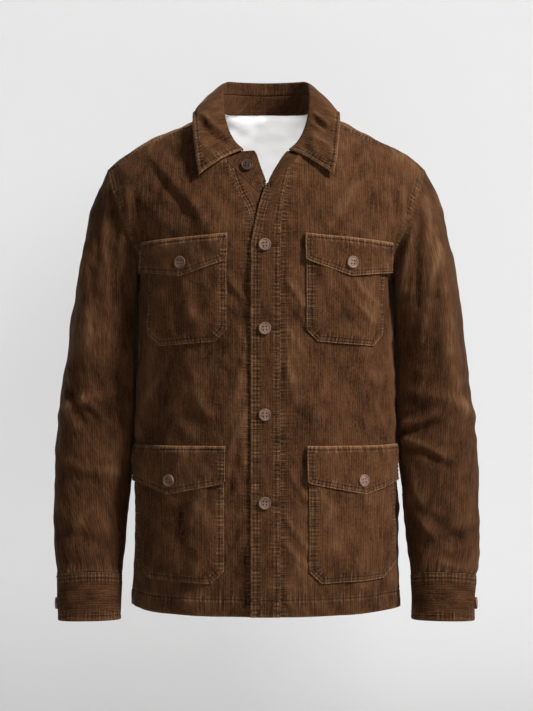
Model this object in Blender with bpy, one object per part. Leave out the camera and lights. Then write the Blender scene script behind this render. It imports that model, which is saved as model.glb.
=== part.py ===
"""A men's corduroy shirt jacket, filled out as it is worn, with its top button undone.

Metres, +Z up, the chest faces -Y and the wearer's right side is at -X.
The origin lies between the shoulders, at the level where the jacket rests on them.
Every panel is a closed wall of cloth. Its outer face comes from one body form, worked
out from the girths and shoulder lines below, and its inner face lies a cloth's
thickness inside.
"""
import math
from collections import namedtuple

import bpy
import numpy as np

# ---- driving dimensions -------------------------------------------------------------

CLOTH = 0.0018
FACED_CLOTH = 0.0024
SEAM_GAP = 0.0003
HEM_Z = -0.7195
CHEST_Z = -0.235
SHOULDER_TIP_X = 0.2386
BODY_SQUARENESS = 2.4

Girth = namedtuple("Girth", "z half_width front back")
GIRTHS = (
    Girth(-0.7195, 0.2006, 0.142, 0.126),
    Girth(-0.560, 0.1985, 0.140, 0.119),
    Girth(-0.400, 0.1955, 0.138, 0.116),
    Girth(-0.300, 0.1940, 0.139, 0.124),
    Girth(-0.235, 0.1930, 0.140, 0.131),
)

# The ridge of the shoulder falls in a straight line from the neck, then drops to the tip.
RIDGE_AT_NECK = (0.1064, 0.012)
RIDGE_SLOPE = 0.5
TIP_DROP_FROM_X = 0.205
TIP_DROP = 0.0097

# How round the chest and the back roll over to the ridge, at the centre and at the tip.
FRONT_ROUNDNESS = (1.8, 2.3)
BACK_ROUNDNESS = 2.6

# The shoulder seam lies forward of the ridge, by this fall below it.
SeamFall = namedtuple("SeamFall", "x fall")
SHOULDER_SEAM = (
    SeamFall(0.083, 0.0145),
    SeamFall(0.110, 0.0110),
    SeamFall(0.170, 0.0060),
    SeamFall(0.2386, 0.0045),
)

# The armhole cuts the form at x; half_width is that of the form's level there.
Armhole = namedtuple("Armhole", "z front_x back_x half_width")
ARMHOLE = (
    Armhole(-0.2350, 0.1930, 0.1930, 0.1930),
    Armhole(-0.2025, 0.1877, 0.1895, 0.2000),
    Armhole(-0.1840, 0.1954, 0.1968, 0.2120),
    Armhole(-0.1550, 0.2085, 0.2090, 0.2350),
    Armhole(-0.1250, 0.2177, 0.2180, 0.2480),
    Armhole(-0.0970, 0.2280, 0.2280, 0.2580),
    Armhole(-0.0590, 0.2386, 0.2386, 0.2660),
)

# Inner edge of each front panel, from the hem up the band's seam and round the neck.
Edge = namedtuple("Edge", "x z")
FRONT_EDGE = {
    -1: (Edge(0.0225, HEM_Z), Edge(0.0225, -0.235), Edge(0.0225, -0.165), Edge(0.0250, -0.142),
         Edge(0.0405, -0.110), Edge(0.0575, -0.0640)),
    1: (Edge(0.0203, HEM_Z), Edge(0.0205, -0.235), Edge(0.0212, -0.165), Edge(0.0225, -0.143),
        Edge(0.0280, -0.108), Edge(0.0400, -0.0640)),
}
NECK_EDGE = {
    -1: (Edge(0.0575, -0.0640), Edge(0.0685, -0.037), Edge(0.0785, -0.010), Edge(0.0830, 0.0092)),
    1: (Edge(0.0400, -0.0640), Edge(0.0610, -0.044), Edge(0.0775, -0.012), Edge(0.0830, 0.0092)),
}
BackNeck = namedtuple("BackNeck", "x y")
BACK_NECK = (
    BackNeck(0.0000, 0.0795),
    BackNeck(0.0360, 0.0690),
    BackNeck(0.0590, 0.0480),
    BackNeck(0.0715, 0.0220),
    BackNeck(0.0790, -0.0080),
    BackNeck(0.0830, -0.0350),
)

# Free edge of each front band, beside the seam's height, and how far it turns in there.
Band = namedtuple("Band", "seam_z free_x free_z turn_in")
BUTTON_BAND = (
    Band(HEM_Z, 0.0200, HEM_Z, 0.0),
    Band(-0.400, 0.0200, -0.400, 0.0),
    Band(-0.200, 0.0200, -0.205, 0.0005),
    Band(-0.165, 0.0185, -0.175, 0.0020),
    Band(-0.142, 0.0110, -0.152, 0.0050),
    Band(-0.110, -0.0010, -0.132, 0.0080),
    Band(-0.084, -0.0070, -0.121, 0.0095),
    Band(-0.0640, -0.0120, -0.1115, 0.0105),
)
BUTTONHOLE_BAND = (
    Band(HEM_Z, -0.0226, HEM_Z, 0.0),
    Band(-0.400, -0.0226, -0.400, 0.0),
    Band(-0.200, -0.0223, -0.190, 0.0),
    Band(-0.165, -0.0182, -0.1634, 0.0003),
    Band(-0.143, -0.0142, -0.1427, 0.0010),
    Band(-0.108, -0.0080, -0.1200, 0.0025),
    Band(-0.084, -0.0020, -0.1090, 0.0040),
    Band(-0.0640, 0.0030, -0.1025, 0.0060),
)
BAND_LIFT = 0.0009
BAND_SETTLES_FROM_Z = -0.130

# Collar rows round the neck. turn is degrees from the centre back about NECK_AXIS_Y, top
# the stand's upper edge, roll the fold line of the fall and edge the fall's outer edge.
NECK_AXIS_Y = -0.03
StandRow = namedtuple("StandRow", "turn top")
FallRow = namedtuple("FallRow", "turn top roll edge")
FALL_HALF = (
    FallRow(0.0, (0.0000, 0.0720, 0.0600), (0.0000, 0.0755, 0.0805), (0.0000, 0.1080, 0.0070)),
    FallRow(22.4, (0.0350, 0.0655, 0.0600), (0.0360, 0.0690, 0.0803), (0.0560, 0.0960, 0.0080)),
    FallRow(40.2, (0.0550, 0.0500, 0.0590), (0.0565, 0.0540, 0.0790), (0.0930, 0.0680, 0.0120)),
    FallRow(64.2, (0.0670, 0.0190, 0.0530), (0.0655, 0.0210, 0.0690), (0.1080, 0.0240, 0.0175)),
    FallRow(92.1, (0.0690, -0.0150, 0.0380), (0.0655, -0.0170, 0.0480), (0.1090, -0.0200, 0.0165)),
    FallRow(114.2, (0.0650, -0.0460, 0.0060), (0.0625, -0.0510, 0.0130), (0.1085, -0.0620, -0.0020)),
    FallRow(127.7, (0.0570, -0.0635, -0.0200), (0.0560, -0.0690, -0.0130), (0.1055, -0.0890, -0.0300)),
    FallRow(137.5, (0.0465, -0.0760, -0.0390), (0.0462, -0.0825, -0.0325), (0.1020, -0.1060, -0.0590)),
    FallRow(145.6, (0.0345, -0.0850, -0.0500), (0.0336, -0.0925, -0.0455), (0.0972, -0.1160, -0.0850)),
)
STAND_RIGHT_END = (
    StandRow(151.5, (0.0262, -0.0910, -0.0480)),
    StandRow(158.0, (0.0150, -0.0975, -0.0530)),
    StandRow(165.5, (0.0062, -0.1035, -0.0730)),
    StandRow(172.5, (0.0000, -0.1085, -0.0935)),
)
STAND_LEFT_END = (
    StandRow(152.5, (0.0298, -0.0885, -0.0508)),
    StandRow(158.0, (0.0252, -0.0925, -0.0525)),
    StandRow(165.0, (0.0180, -0.0990, -0.0640)),
    StandRow(171.6, (0.0108, -0.1045, -0.0765)),
    StandRow(178.0, (0.0050, -0.1095, -0.0895)),
)
FALL_STEPS = 15
# The fall is a curve from roll to edge, pulled out by crest and belly at these shares.
FALL_CREST = 0.014
CREST_SHARE = 0.10
FALL_BELLY = 0.0140
BELLY_SHARE = 0.62
FALL_START_RISE = 0.0036

# Sleeve sections down the arm: centre, half width across and half depth front to back.
Ring = namedtuple("Ring", "x y z across depth")
SLEEVE_RINGS = (
    Ring(0.2490, 0.002, -0.300, 0.0480, 0.0755),
    Ring(0.2540, 0.004, -0.370, 0.0525, 0.0700),
    Ring(0.2578, 0.001, -0.440, 0.0565, 0.0630),
    Ring(0.2608, -0.009, -0.510, 0.0585, 0.0560),
    Ring(0.2632, -0.025, -0.580, 0.0570, 0.0500),
    Ring(0.2640, -0.041, -0.640, 0.0520, 0.0455),
    Ring(0.2632, -0.049, -0.672, 0.0475, 0.0425),
)
CUFF_RINGS = (
    Ring(0.2622, -0.0565, -0.705, 0.0458, 0.0405),
    Ring(0.2612, -0.0630, -0.7362, 0.0448, 0.0395),
)
CUFF_GAP = 0.0006
CUFF_PROUD = 0.0010
# The sleeve's inner side presses along the body: clearance from the body's wall by height.
Clearance = namedtuple("Clearance", "z gap")
PRESSED = (
    Clearance(-0.640, 0.0060),
    Clearance(-0.560, 0.0080),
    Clearance(-0.475, 0.0075),
    Clearance(-0.440, 0.0022),
    Clearance(-0.300, 0.0022),
    Clearance(-0.245, 0.0012),
)
SLEEVE_SQUARENESS = 2.2
CAP_SHARE = 0.36
CAP_LEAN = 0.62
SLEEVE_LENGTH = 0.62
SLEEVE_RADIUS = 0.055
UNDERARM_TURNS = (12, 95)
UNDERARM_GAP = 0.0011

# Largest folds of the body: a soft trough (depth < 0) or ridge from one point to another.
Fold = namedtuple("Fold", "x0 z0 x1 z1 width depth")
FRONT_FOLDS = (
    Fold(-0.166, -0.075, -0.118, -0.140, 0.012, -0.0045),
    Fold(-0.148, -0.080, -0.080, -0.160, 0.014, 0.0035),
    Fold(0.144, -0.092, 0.100, -0.142, 0.013, -0.0030),
    Fold(0.185, -0.330, 0.120, -0.450, 0.018, -0.0030),
    Fold(-0.185, -0.350, -0.110, -0.440, 0.018, -0.0030),
    Fold(0.030, -0.370, 0.075, -0.440, 0.014, 0.0025),
)
BACK_FOLDS = (
    Fold(-0.185, -0.180, -0.100, -0.290, 0.018, -0.0040),
    Fold(0.185, -0.190, 0.110, -0.300, 0.018, -0.0040),
    Fold(-0.150, -0.330, -0.040, -0.420, 0.020, 0.0035),
    Fold(0.150, -0.360, 0.030, -0.430, 0.020, 0.0035),
    Fold(-0.060, -0.520, -0.075, -0.700, 0.022, 0.0030),
    Fold(0.080, -0.500, 0.070, -0.700, 0.022, -0.0030),
)

# Largest folds of a sleeve: turn is degrees from the outer line towards the front,
# along is the share of the sleeve's length from the armhole.
SleeveFold = namedtuple("SleeveFold", "turn0 along0 turn1 along1 width depth")
SLEEVE_FOLDS = (
    SleeveFold(60, 0.12, 75, 0.42, 0.014, 0.0040),
    SleeveFold(15, 0.15, 35, 0.40, 0.014, -0.0035),
    SleeveFold(20, 0.52, 120, 0.60, 0.012, -0.0050),
    SleeveFold(10, 0.60, 110, 0.54, 0.012, 0.0035),
    SleeveFold(30, 0.90, 130, 0.94, 0.010, -0.0040),
    SleeveFold(200, 0.50, 320, 0.60, 0.014, -0.0050),
    SleeveFold(220, 0.90, 330, 0.94, 0.010, -0.0040),
)

# Pockets, given on the left front and mirrored: corners as x, z; chamfer cuts two corners.
Pocket = namedtuple("Pocket", "name inner_x outer_x top_in top_out low_in low_out chamfer")
POCKETS = (
    Pocket("breast_pocket", 0.0571, 0.1715, -0.1840, -0.1930, -0.3258, -0.3321, 0.017),
    Pocket("lower_pocket", 0.0608, 0.1890, -0.4900, -0.4910, -0.6727, -0.6710, 0.018),
)
Flap = namedtuple("Flap", "name inner_x outer_x top_in top_out low_in low_out tip_x tip_z")
FLAPS = (
    Flap("breast_flap", 0.0553, 0.1830, -0.1703, -0.1796, -0.2071, -0.2235, 0.1215, -0.2310),
    Flap("lower_flap", 0.0581, 0.1925, -0.4751, -0.4768, -0.5260, -0.5310, 0.1415, -0.5465),
)
POCKET_GAP = 0.0012
POCKET_THICKNESS = 0.0018
FLAP_GAP = 0.0042
FLAP_RISE_LENGTH = 0.010
FLAP_CORNER = 0.006
FLAP_CORNER_DROP = 0.004

# Buttons: diameter, height and places.
BUTTON_DIAMETER = 0.0176
BUTTON_HEIGHT = 0.0032
BUTTON_GAP = 0.0005
BUTTON_SIDES = 18
# Half section from the middle of its back to the middle of its face, as shares of its size.
ButtonRing = namedtuple("ButtonRing", "radius height")
BUTTON_PROFILE = (
    ButtonRing(0.00, 0.00),
    ButtonRing(0.80, 0.00),
    ButtonRing(1.00, 0.35),
    ButtonRing(1.00, 0.75),
    ButtonRing(0.90, 1.00),
    ButtonRing(0.66, 0.72),
    ButtonRing(0.00, 0.66),
)
FRONT_BUTTONS_Z = (-0.1872, -0.3067, -0.4302, -0.5562)
FRONT_BUTTON_X = -0.0020
CUFF_BUTTON_Z = -0.711
CUFF_BUTTON_TURN = 0.0
NECK_BUTTON_SHARE = 0.5
NECK_BUTTON_CLEAR = 0.0008
BREAST_BUTTON = (0.1235, -0.2113)
LOWER_BUTTON = (0.1402, -0.5262)

# Small steps for slopes: in metres, in radians and in shares of a surface.
STEP = 1e-4
SHARE_STEP = 1e-3
TURN_STEP = 0.3
OUTWARD_LIFT = 0.05

# Mesh steps along and across each piece.
PANEL_STEPS = 9
BACK_NECK_STEPS = 5
LOW_STEPS = 13
FRONT_EDGE_STEPS = 6
ARMPIT_SPLIT = (0.10, 0.38)
FRONT_NECK_STEPS = 6
BACK_UPPER_STEPS = 10
BAND_STEPS = 3
SLEEVE_STEPS = 22
CUFF_STEPS = 3
POCKET_STEPS = 10
POCKET_ROWS = 6
FLAP_ROWS = (0, 0.12, 0.28, 0.52, 0.76, 1)
STAND_ROWS = 5
FALL_SHARES = (0, 0.07, 0.16, 0.28, 0.46, 0.64, 0.82, 1)

# ---- colours ------------------------------------------------------------------------

Finish = namedtuple("Finish", "colour roughness")
CORDUROY = Finish((0.085, 0.036, 0.014), 0.92)
CORDUROY_DARK = Finish((0.062, 0.026, 0.010), 0.94)
BUTTON_PLASTIC = Finish((0.235, 0.150, 0.105), 0.38)


# ---- small mathematics --------------------------------------------------------------

def smooth_curve(knots, values):
    """A monotone cubic through the knots, level outside them; returns a function."""
    x = np.asarray(knots, float)
    y = np.asarray(values, float)
    step = np.diff(x)
    slope = np.diff(y) / step
    tangent = np.zeros_like(y)
    tangent[0], tangent[-1] = slope[0], slope[-1]
    for i in range(1, len(x) - 1):
        if slope[i - 1] * slope[i] > 0:
            w0 = 2 * step[i] + step[i - 1]
            w1 = step[i] + 2 * step[i - 1]
            tangent[i] = (w0 + w1) / (w0 / slope[i - 1] + w1 / slope[i])

    def value(t):
        t = np.clip(np.asarray(t, float), x[0], x[-1])
        i = np.clip(np.searchsorted(x, t, side="right") - 1, 0, len(x) - 2)
        q = (t - x[i]) / step[i]
        rise = y[i] * (1 + 2 * q) * (1 - q) ** 2 + y[i + 1] * q ** 2 * (3 - 2 * q)
        return rise + step[i] * (tangent[i] * q * (1 - q) ** 2 - tangent[i + 1] * q ** 2 * (1 - q))

    return value


def unit(vectors):
    """Vectors scaled to length one."""
    return vectors / np.maximum(np.linalg.norm(vectors, axis=-1, keepdims=True), 1e-12)


def smooth_step(t):
    """Eases from 0 to 1."""
    t = np.clip(t, 0, 1)
    return t * t * (3 - 2 * t)


def bump(across, half_width):
    """A soft hill: 1 at 0 and 0 from about twice the half width outwards."""
    return np.exp(-(across / half_width) ** 2)


def fold_height(x, z, folds):
    """Sum of the soft folds at the points x, z."""
    total = np.zeros(np.broadcast(x, z).shape)
    for fold in folds:
        run = np.array([fold.x1 - fold.x0, fold.z1 - fold.z0])
        length = np.hypot(*run)
        along = ((x - fold.x0) * run[0] + (z - fold.z0) * run[1]) / length
        across = ((x - fold.x0) * run[1] - (z - fold.z0) * run[0]) / length
        past = np.maximum(0, np.abs(along - length / 2) - length / 2)
        total += fold.depth * bump(across, fold.width) * bump(past, 1.6 * fold.width)
    return total


# ---- the body form ------------------------------------------------------------------

GIRTH_Z = [row.z for row in GIRTHS]
half_width_at = smooth_curve(GIRTH_Z, [row.half_width for row in GIRTHS])
front_at = smooth_curve(GIRTH_Z, [row.front for row in GIRTHS])
back_at = smooth_curve(GIRTH_Z, [row.back for row in GIRTHS])
seam_fall = smooth_curve([row.x for row in SHOULDER_SEAM], [row.fall for row in SHOULDER_SEAM])


def ridge_z(x):
    """Height of the shoulder's ridge at |x|."""
    drop = TIP_DROP * (np.maximum(0, x - TIP_DROP_FROM_X) / (SHOULDER_TIP_X - TIP_DROP_FROM_X)) ** 2
    return RIDGE_AT_NECK[1] - RIDGE_SLOPE * (x - RIDGE_AT_NECK[0]) - drop


def roundness(x, back):
    """Exponent of the roll over the shoulder at |x|."""
    if back:
        return np.full(np.shape(x), BACK_ROUNDNESS)
    low, high = FRONT_ROUNDNESS
    return low + (high - low) * np.clip(x / SHOULDER_TIP_X, 0, 1)


def seam_angle(x):
    """Angle of the roll, up from the chest, at which the shoulder seam lies."""
    share = 1 - seam_fall(x) / (ridge_z(x) - CHEST_Z)
    return np.arcsin(share ** (roundness(x, False) / 2))


def row_of(x, z, back):
    """Share of the way from the chest level to the shoulder seam (front) or ridge (back)."""
    share = np.clip((z - CHEST_Z) / (ridge_z(x) - CHEST_Z), 0, 1)
    angle = np.arcsin(share ** (roundness(x, back) / 2))
    return angle / (math.pi / 2 if back else seam_angle(x))


def armhole_curves(back):
    """|x| of the armhole and half width of the form, as functions of the row from 0 to 1."""
    x = np.array([row.back_x if back else row.front_x for row in ARMHOLE])
    rows = row_of(x, np.array([row.z for row in ARMHOLE]), back)
    rows[0], rows[-1] = 0.0, 1.0
    return smooth_curve(rows, x), smooth_curve(rows, [row.half_width for row in ARMHOLE])


# Each holds the curve of the front under False and that of the back under True.
armhole_x, level_half_width = ({back: armhole_curves(back)[k] for back in (False, True)} for k in (0, 1))


def superellipse_depth(x, half_width, depth):
    """Depth of a rounded section at |x|."""
    inside = np.clip(1 - np.clip(x / half_width, 0, 1) ** BODY_SQUARENESS, 0, 1)
    return depth * inside ** (1 / BODY_SQUARENESS)


def upper_point(x, row, back):
    """Point of the form above the chest: y and z at |x| on a row from 0 to 1, or past it."""
    full = math.pi / 2 if back else seam_angle(x)
    angle = np.clip(row, 0, None) * full
    power = 2 / roundness(x, back)
    reach = superellipse_depth(x, level_half_width[back](row), (back_at if back else front_at)(CHEST_Z))
    y = reach * np.clip(np.cos(angle), 0, 1) ** power
    z = CHEST_Z + (ridge_z(x) - CHEST_Z) * np.clip(np.sin(angle), 0, 1) ** power
    return (y if back else -y), z


def form_depth(x, z, back=False):
    """y of the form at |x| and height z."""
    low = superellipse_depth(x, half_width_at(z), (back_at if back else front_at)(z))
    share = np.clip((z - CHEST_Z) / (ridge_z(x) - CHEST_Z), 0, 1)
    power = roundness(x, back)
    reach = superellipse_depth(x, level_half_width[back](row_of(x, z, back)),
                               (back_at if back else front_at)(CHEST_Z))
    high = reach * (1 - share ** power) ** (1 / power)
    depth = np.where(z > CHEST_Z, high, low)
    return depth if back else -depth


def folded(points, back):
    """Points of the body moved out or in by the largest folds."""
    height = fold_height(points[..., 0], points[..., 2], BACK_FOLDS if back else FRONT_FOLDS)
    return points + unit(away_from_axis(points)) * height[..., None]


def front_point(x, z, side):
    """Point of the front of the body at signed x and height z, folds included."""
    x, z = np.broadcast_arrays(np.asarray(x, float), np.asarray(z, float))
    points = np.stack([x, form_depth(np.abs(x), z), z], axis=-1)
    return folded(points, False)


# ---- walls --------------------------------------------------------------------------

def surface_normals(surface, u, v, outward):
    """Unit normals of a surface of two shares, turned to the side of the outward vectors."""
    step = SHARE_STEP
    along_u = surface(np.clip(u + step, 0, 1), v) - surface(np.clip(u - step, 0, 1), v)
    along_v = surface(u, np.clip(v + step, 0, 1)) - surface(u, np.clip(v - step, 0, 1))
    normals = unit(np.cross(along_u, along_v))
    turned = np.sum(normals * outward, axis=-1, keepdims=True) < 0
    return np.where(turned, -normals, normals)


def away_from_axis(points):
    """Horizontal vectors away from the upright axis through the origin."""
    return points * np.array([1, 1, 0])


def upward_from_axis(points):
    """Vectors away from the upright axis and a little up, to tell outer sides by."""
    return away_from_axis(points) + [0, 0, OUTWARD_LIFT]


def make_material(name, finish):
    """A Principled material with a plain colour and roughness."""
    material = bpy.data.materials.new(name)
    material.use_nodes = True
    shader = material.node_tree.nodes["Principled BSDF"]
    shader.inputs["Base Color"].default_value = (*finish.colour, 1)
    shader.inputs["Roughness"].default_value = finish.roughness
    return material


def add_object(name, vertices, faces, finish):
    """A named object from vertices and faces, smooth but for its sharp rims."""
    mesh = bpy.data.meshes.new(name)
    mesh.from_pydata([tuple(v) for v in vertices], [], faces)
    mesh.shade_smooth()
    mesh.set_sharp_from_angle(angle=math.radians(50))
    mesh.materials.append(make_material(name, finish))
    item = bpy.data.objects.new(name, mesh)
    bpy.context.scene.collection.objects.link(item)
    return item


def signed_volume(vertices, faces):
    """Six times the volume inside triangles."""
    corners = vertices[np.array(faces)]
    return np.sum(np.cross(corners[:, 0], corners[:, 1]) * corners[:, 2])


def add_wall(name, outer, inner, finish, closed=False):
    """A closed wall between two grids of points; closed joins the last column to the first."""
    rows, columns = outer.shape[:2]
    vertices = np.vstack([outer.reshape(-1, 3), inner.reshape(-1, 3)])
    count = rows * columns
    faces = []

    def quad(a, b, c, d):
        faces.append((a, b, c))
        faces.append((a, c, d))

    spans = columns if closed else columns - 1
    for i in range(rows - 1):
        for j in range(spans):
            k = (j + 1) % columns
            a, b = i * columns + j, i * columns + k
            c, d = b + columns, a + columns
            # Both faces are split along the quad's shorter diagonal.
            if np.linalg.norm(vertices[a] - vertices[c]) > np.linalg.norm(vertices[b] - vertices[d]):
                a, b, c, d = b, c, d, a
            quad(a, b, c, d)
            quad(count + a, count + d, count + c, count + b)
    for j in range(spans):
        k = (j + 1) % columns
        last = (rows - 1) * columns
        quad(j, count + j, count + k, k)
        quad(last + k, count + last + k, count + last + j, last + j)
    if not closed:
        for i in range(rows - 1):
            a, d = i * columns, (i + 1) * columns
            quad(d, count + d, count + a, a)
            b, c = a + columns - 1, d + columns - 1
            quad(b, count + b, count + c, c)
    if signed_volume(vertices, faces) < 0:
        faces = [face[::-1] for face in faces]
    return add_object(name, vertices, faces, finish)


# ---- front panels -------------------------------------------------------------------

# Shares of a panel's height at which the chest level and the neck corner lie.
CHEST_SHARE = 0.58
CORNER_SHARE = 0.80


def edge_curves(side):
    """Inner edge of a front above the chest, as functions of the row from 0 to 1."""
    rows = []
    xs = []
    for place in FRONT_EDGE[side][1:] + NECK_EDGE[side][1:]:
        rows.append(float(row_of(np.array(place.x), np.array(place.z), False)))
        xs.append(place.x)
    rows[0], rows[-1] = 0.0, 1.0
    corner = rows[len(FRONT_EDGE[side]) - 2]
    return smooth_curve(rows, xs), corner


def front_surface(side, with_folds=True):
    """Surface of a front panel: u from its inner edge to the side, v from hem to shoulder."""
    lower_x = smooth_curve([row.z for row in FRONT_EDGE[side][:2]],
                           [row.x for row in FRONT_EDGE[side][:2]])
    upper_x, corner = edge_curves(side)

    def surface(u, v):
        u, v = np.broadcast_arrays(np.asarray(u, float), np.asarray(v, float))
        low_z = HEM_Z + (CHEST_Z - HEM_Z) * np.clip(v / CHEST_SHARE, 0, 1)
        row = np.interp(v, [CHEST_SHARE, CORNER_SHARE, 1], [0, corner, 1])
        upper = v > CHEST_SHARE
        width = np.where(upper, level_half_width[False](row), half_width_at(low_z))
        inner_x = np.where(upper, upper_x(row), lower_x(low_z))
        outer_x = np.where(upper, armhole_x[False](row), width)
        start = np.arcsin(np.clip(inner_x / width, 0, 1))
        stop = np.arcsin(np.clip(outer_x / width, 0, 1))
        x = width * np.sin(start + (stop - start) * u)
        high_y, high_z = upper_point(x, row, False)
        low_y = -superellipse_depth(x, width, front_at(low_z))
        y = np.where(upper, high_y, low_y)
        z = np.where(upper, high_z, low_z)
        points = np.stack([side * x, y, z], axis=-1)
        return folded(points, False) if with_folds else points

    return surface


def front_rows():
    """Heights of a front's rows: hem to chest, chest to neck corner, corner to shoulder."""
    return np.concatenate([np.linspace(0, CHEST_SHARE, LOW_STEPS + 1)[:-1],
                           armpit_rows(CHEST_SHARE, CORNER_SHARE, FRONT_EDGE_STEPS)[:-1],
                           np.linspace(CORNER_SHARE, 1, FRONT_NECK_STEPS + 1)])


def armpit_rows(low, high, count):
    """Even steps from low to high, the first one split up where the armhole turns fastest."""
    rows = np.linspace(low, high, count + 1)
    first = rows[0] + (rows[1] - rows[0]) * np.array(ARMPIT_SPLIT)
    return np.concatenate([rows[:1], first, rows[1:]])


def front_normals(side, u, v):
    """Unit outward normals of a front without its folds."""
    plain = front_surface(side, False)
    return surface_normals(plain, u, v, upward_from_axis(plain(u, v)))


def build_fronts():
    """Both front panels."""
    u, v = np.meshgrid(np.linspace(0, 1, PANEL_STEPS + 1), front_rows())
    # The side seam faces the back, so its gap is left along y.
    spread = np.zeros(u.shape + (3,))
    spread[..., 1] = -SEAM_GAP * (u == 1) * (v <= CHEST_SHARE + 1e-9)
    for side, name in ((-1, "front_right"), (1, "front_left")):
        outer = front_surface(side)(u, v) + spread
        add_wall(name, outer, outer - CLOTH * front_normals(side, u, v), CORDUROY)


# ---- back ---------------------------------------------------------------------------

BACK_CHEST_SHARE = 0.52
NECK_SHARE = BACK_NECK_STEPS / (BACK_NECK_STEPS + PANEL_STEPS)


def back_surface(u, v, with_folds=True):
    """Surface of the back: u from the right side to the left, v from hem over the ridge."""
    u, v = np.broadcast_arrays(np.asarray(u, float), np.asarray(v, float))
    side = np.where(u < 0.5, -1, 1)
    share = np.abs(2 * u - 1)
    low_z = HEM_Z + (CHEST_Z - HEM_Z) * np.clip(v / BACK_CHEST_SHARE, 0, 1)
    row = np.clip((v - BACK_CHEST_SHARE) / (1 - BACK_CHEST_SHARE), 0, 1)
    upper = v > BACK_CHEST_SHARE
    x_low = half_width_at(low_z) * np.sin(share * math.pi / 2)
    y_low = superellipse_depth(x_low, half_width_at(low_z), back_at(low_z))
    x_high, angle = back_upper(share, row)
    y_high, z_high = over_ridge(x_high, angle)
    x = np.where(upper, x_high, x_low)
    y = np.where(upper, y_high, y_low)
    z = np.where(upper, z_high, low_z)
    points = np.stack([side * x, y, z], axis=-1)
    return folded(points, True) if with_folds else points


def back_upper(share, row):
    """Upper back: share 0 at the centre line to 1 at the armhole, row 0 chest to 1 the seams.

    Columns fan out from the chest level, where they are even along the girth, to the top
    edge, which runs along the back of the neck and then along the shoulder seam. Returns x
    and the angle of the roll.
    """
    top_x, top_y = top_edge(share)
    top_angle = angle_on_roll(top_x, top_y)
    angle = row * top_angle
    ridge_row = angle / (math.pi / 2)
    width = level_half_width[True](np.clip(ridge_row, 0, 1))
    cut = armhole_x[True](np.clip(ridge_row, 0, 1))
    stop = np.arcsin(np.clip(cut / width, 0, 1))
    spread_x = width * np.sin(share * stop)
    blend = smooth_step(row)
    return spread_x * (1 - blend) + top_x * blend, angle


def over_ridge(x, angle):
    """y and z at |x| on the roll over the back, at an angle that may pass the ridge."""
    over = angle > math.pi / 2
    back_y, back_z = upper_point(x, np.minimum(angle / (math.pi / 2), 1), True)
    front_y, front_z = upper_point(x, (math.pi - angle) / seam_angle(x), False)
    return np.where(over, front_y, back_y), np.where(over, front_z, back_z)


def back_normals(u, v):
    """Unit outward normals of the back without its folds."""
    u, v = np.broadcast_arrays(np.asarray(u, float), np.asarray(v, float))
    plain = plain_back(u, v)
    low = surface_normals(plain_back, u, np.minimum(v, BACK_CHEST_SHARE), away_from_axis(plain))
    x, angle = back_upper(np.abs(2 * u - 1), np.clip((v - BACK_CHEST_SHARE) / (1 - BACK_CHEST_SHARE), 0, 1))

    def roll(x, angle):
        return np.stack([np.where(u < 0.5, -1, 1) * x, *over_ridge(np.abs(x), angle)], axis=-1)

    high = unit(np.cross(roll(x + STEP, angle) - roll(x - STEP, angle),
                         roll(x, angle + STEP) - roll(x, angle - STEP)))
    outward = upward_from_axis(plain)
    high = np.where(np.sum(high * outward, axis=-1, keepdims=True) < 0, -high, high)
    return np.where(v[..., None] > BACK_CHEST_SHARE, high, low)


def top_edge(share):
    """The back's top edge in plan: x and y at a share from the centre line to the armhole."""
    xs = np.array([place.x for place in BACK_NECK])
    ys = np.array([place.y for place in BACK_NECK])
    run = np.concatenate([[0], np.cumsum(np.hypot(np.diff(xs), np.diff(ys)))])
    run = run / run[-1]
    neck = np.clip(share / NECK_SHARE, 0, 1)
    shoulder = np.clip((share - NECK_SHARE) / (1 - NECK_SHARE), 0, 1)
    # Along the shoulder the columns lie where the front panel's columns end.
    width = ARMHOLE[-1].half_width
    start, stop = math.asin(xs[-1] / width), math.asin(SHOULDER_TIP_X / width)
    x_shoulder = width * np.sin(start + (stop - start) * shoulder)
    x = np.where(share < NECK_SHARE, smooth_curve(run, xs)(neck), x_shoulder)
    y = np.where(share < NECK_SHARE, smooth_curve(run, ys)(neck), seam_y(x_shoulder))
    return x, y


def seam_y(x):
    """y of the shoulder seam at |x|."""
    return upper_point(x, np.ones_like(x), False)[0]


def angle_on_roll(x, y):
    """Angle of the roll over the back, up from the chest and past the ridge, at x and y."""
    back_reach = superellipse_depth(x, level_half_width[True](np.ones_like(x)), back_at(CHEST_Z))
    front_reach = superellipse_depth(x, level_half_width[False](np.ones_like(x)), front_at(CHEST_Z))
    back_cos = np.clip(y / back_reach, 0, 1) ** (roundness(x, True) / 2)
    front_cos = np.clip(-y / front_reach, 0, 1) ** (roundness(x, False) / 2)
    return np.where(y >= 0, np.arccos(back_cos), math.pi - np.arccos(front_cos))


def back_grid():
    """Columns and rows of the back as grids of u and v."""
    v = np.concatenate([np.linspace(0, BACK_CHEST_SHARE, LOW_STEPS + 1)[:-1],
                        armpit_rows(BACK_CHEST_SHARE, 1, BACK_UPPER_STEPS)])
    return np.meshgrid(np.linspace(0, 1, 2 * (BACK_NECK_STEPS + PANEL_STEPS) + 1), v)


def plain_back(u, v):
    """Surface of the back without its folds."""
    return back_surface(u, v, with_folds=False)


def build_back():
    """The back panel, which stops a seam's gap short of the fronts at the shoulders."""
    u, v = back_grid()
    outer = back_surface(u, v)
    spread = np.zeros_like(outer)
    spread[-1] = unit(outer[-2] - outer[-1]) * 2 * SEAM_GAP
    outer = outer + spread
    add_wall("back", outer, outer - CLOTH * back_normals(u, v), CORDUROY)


# ---- front bands --------------------------------------------------------------------

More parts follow.
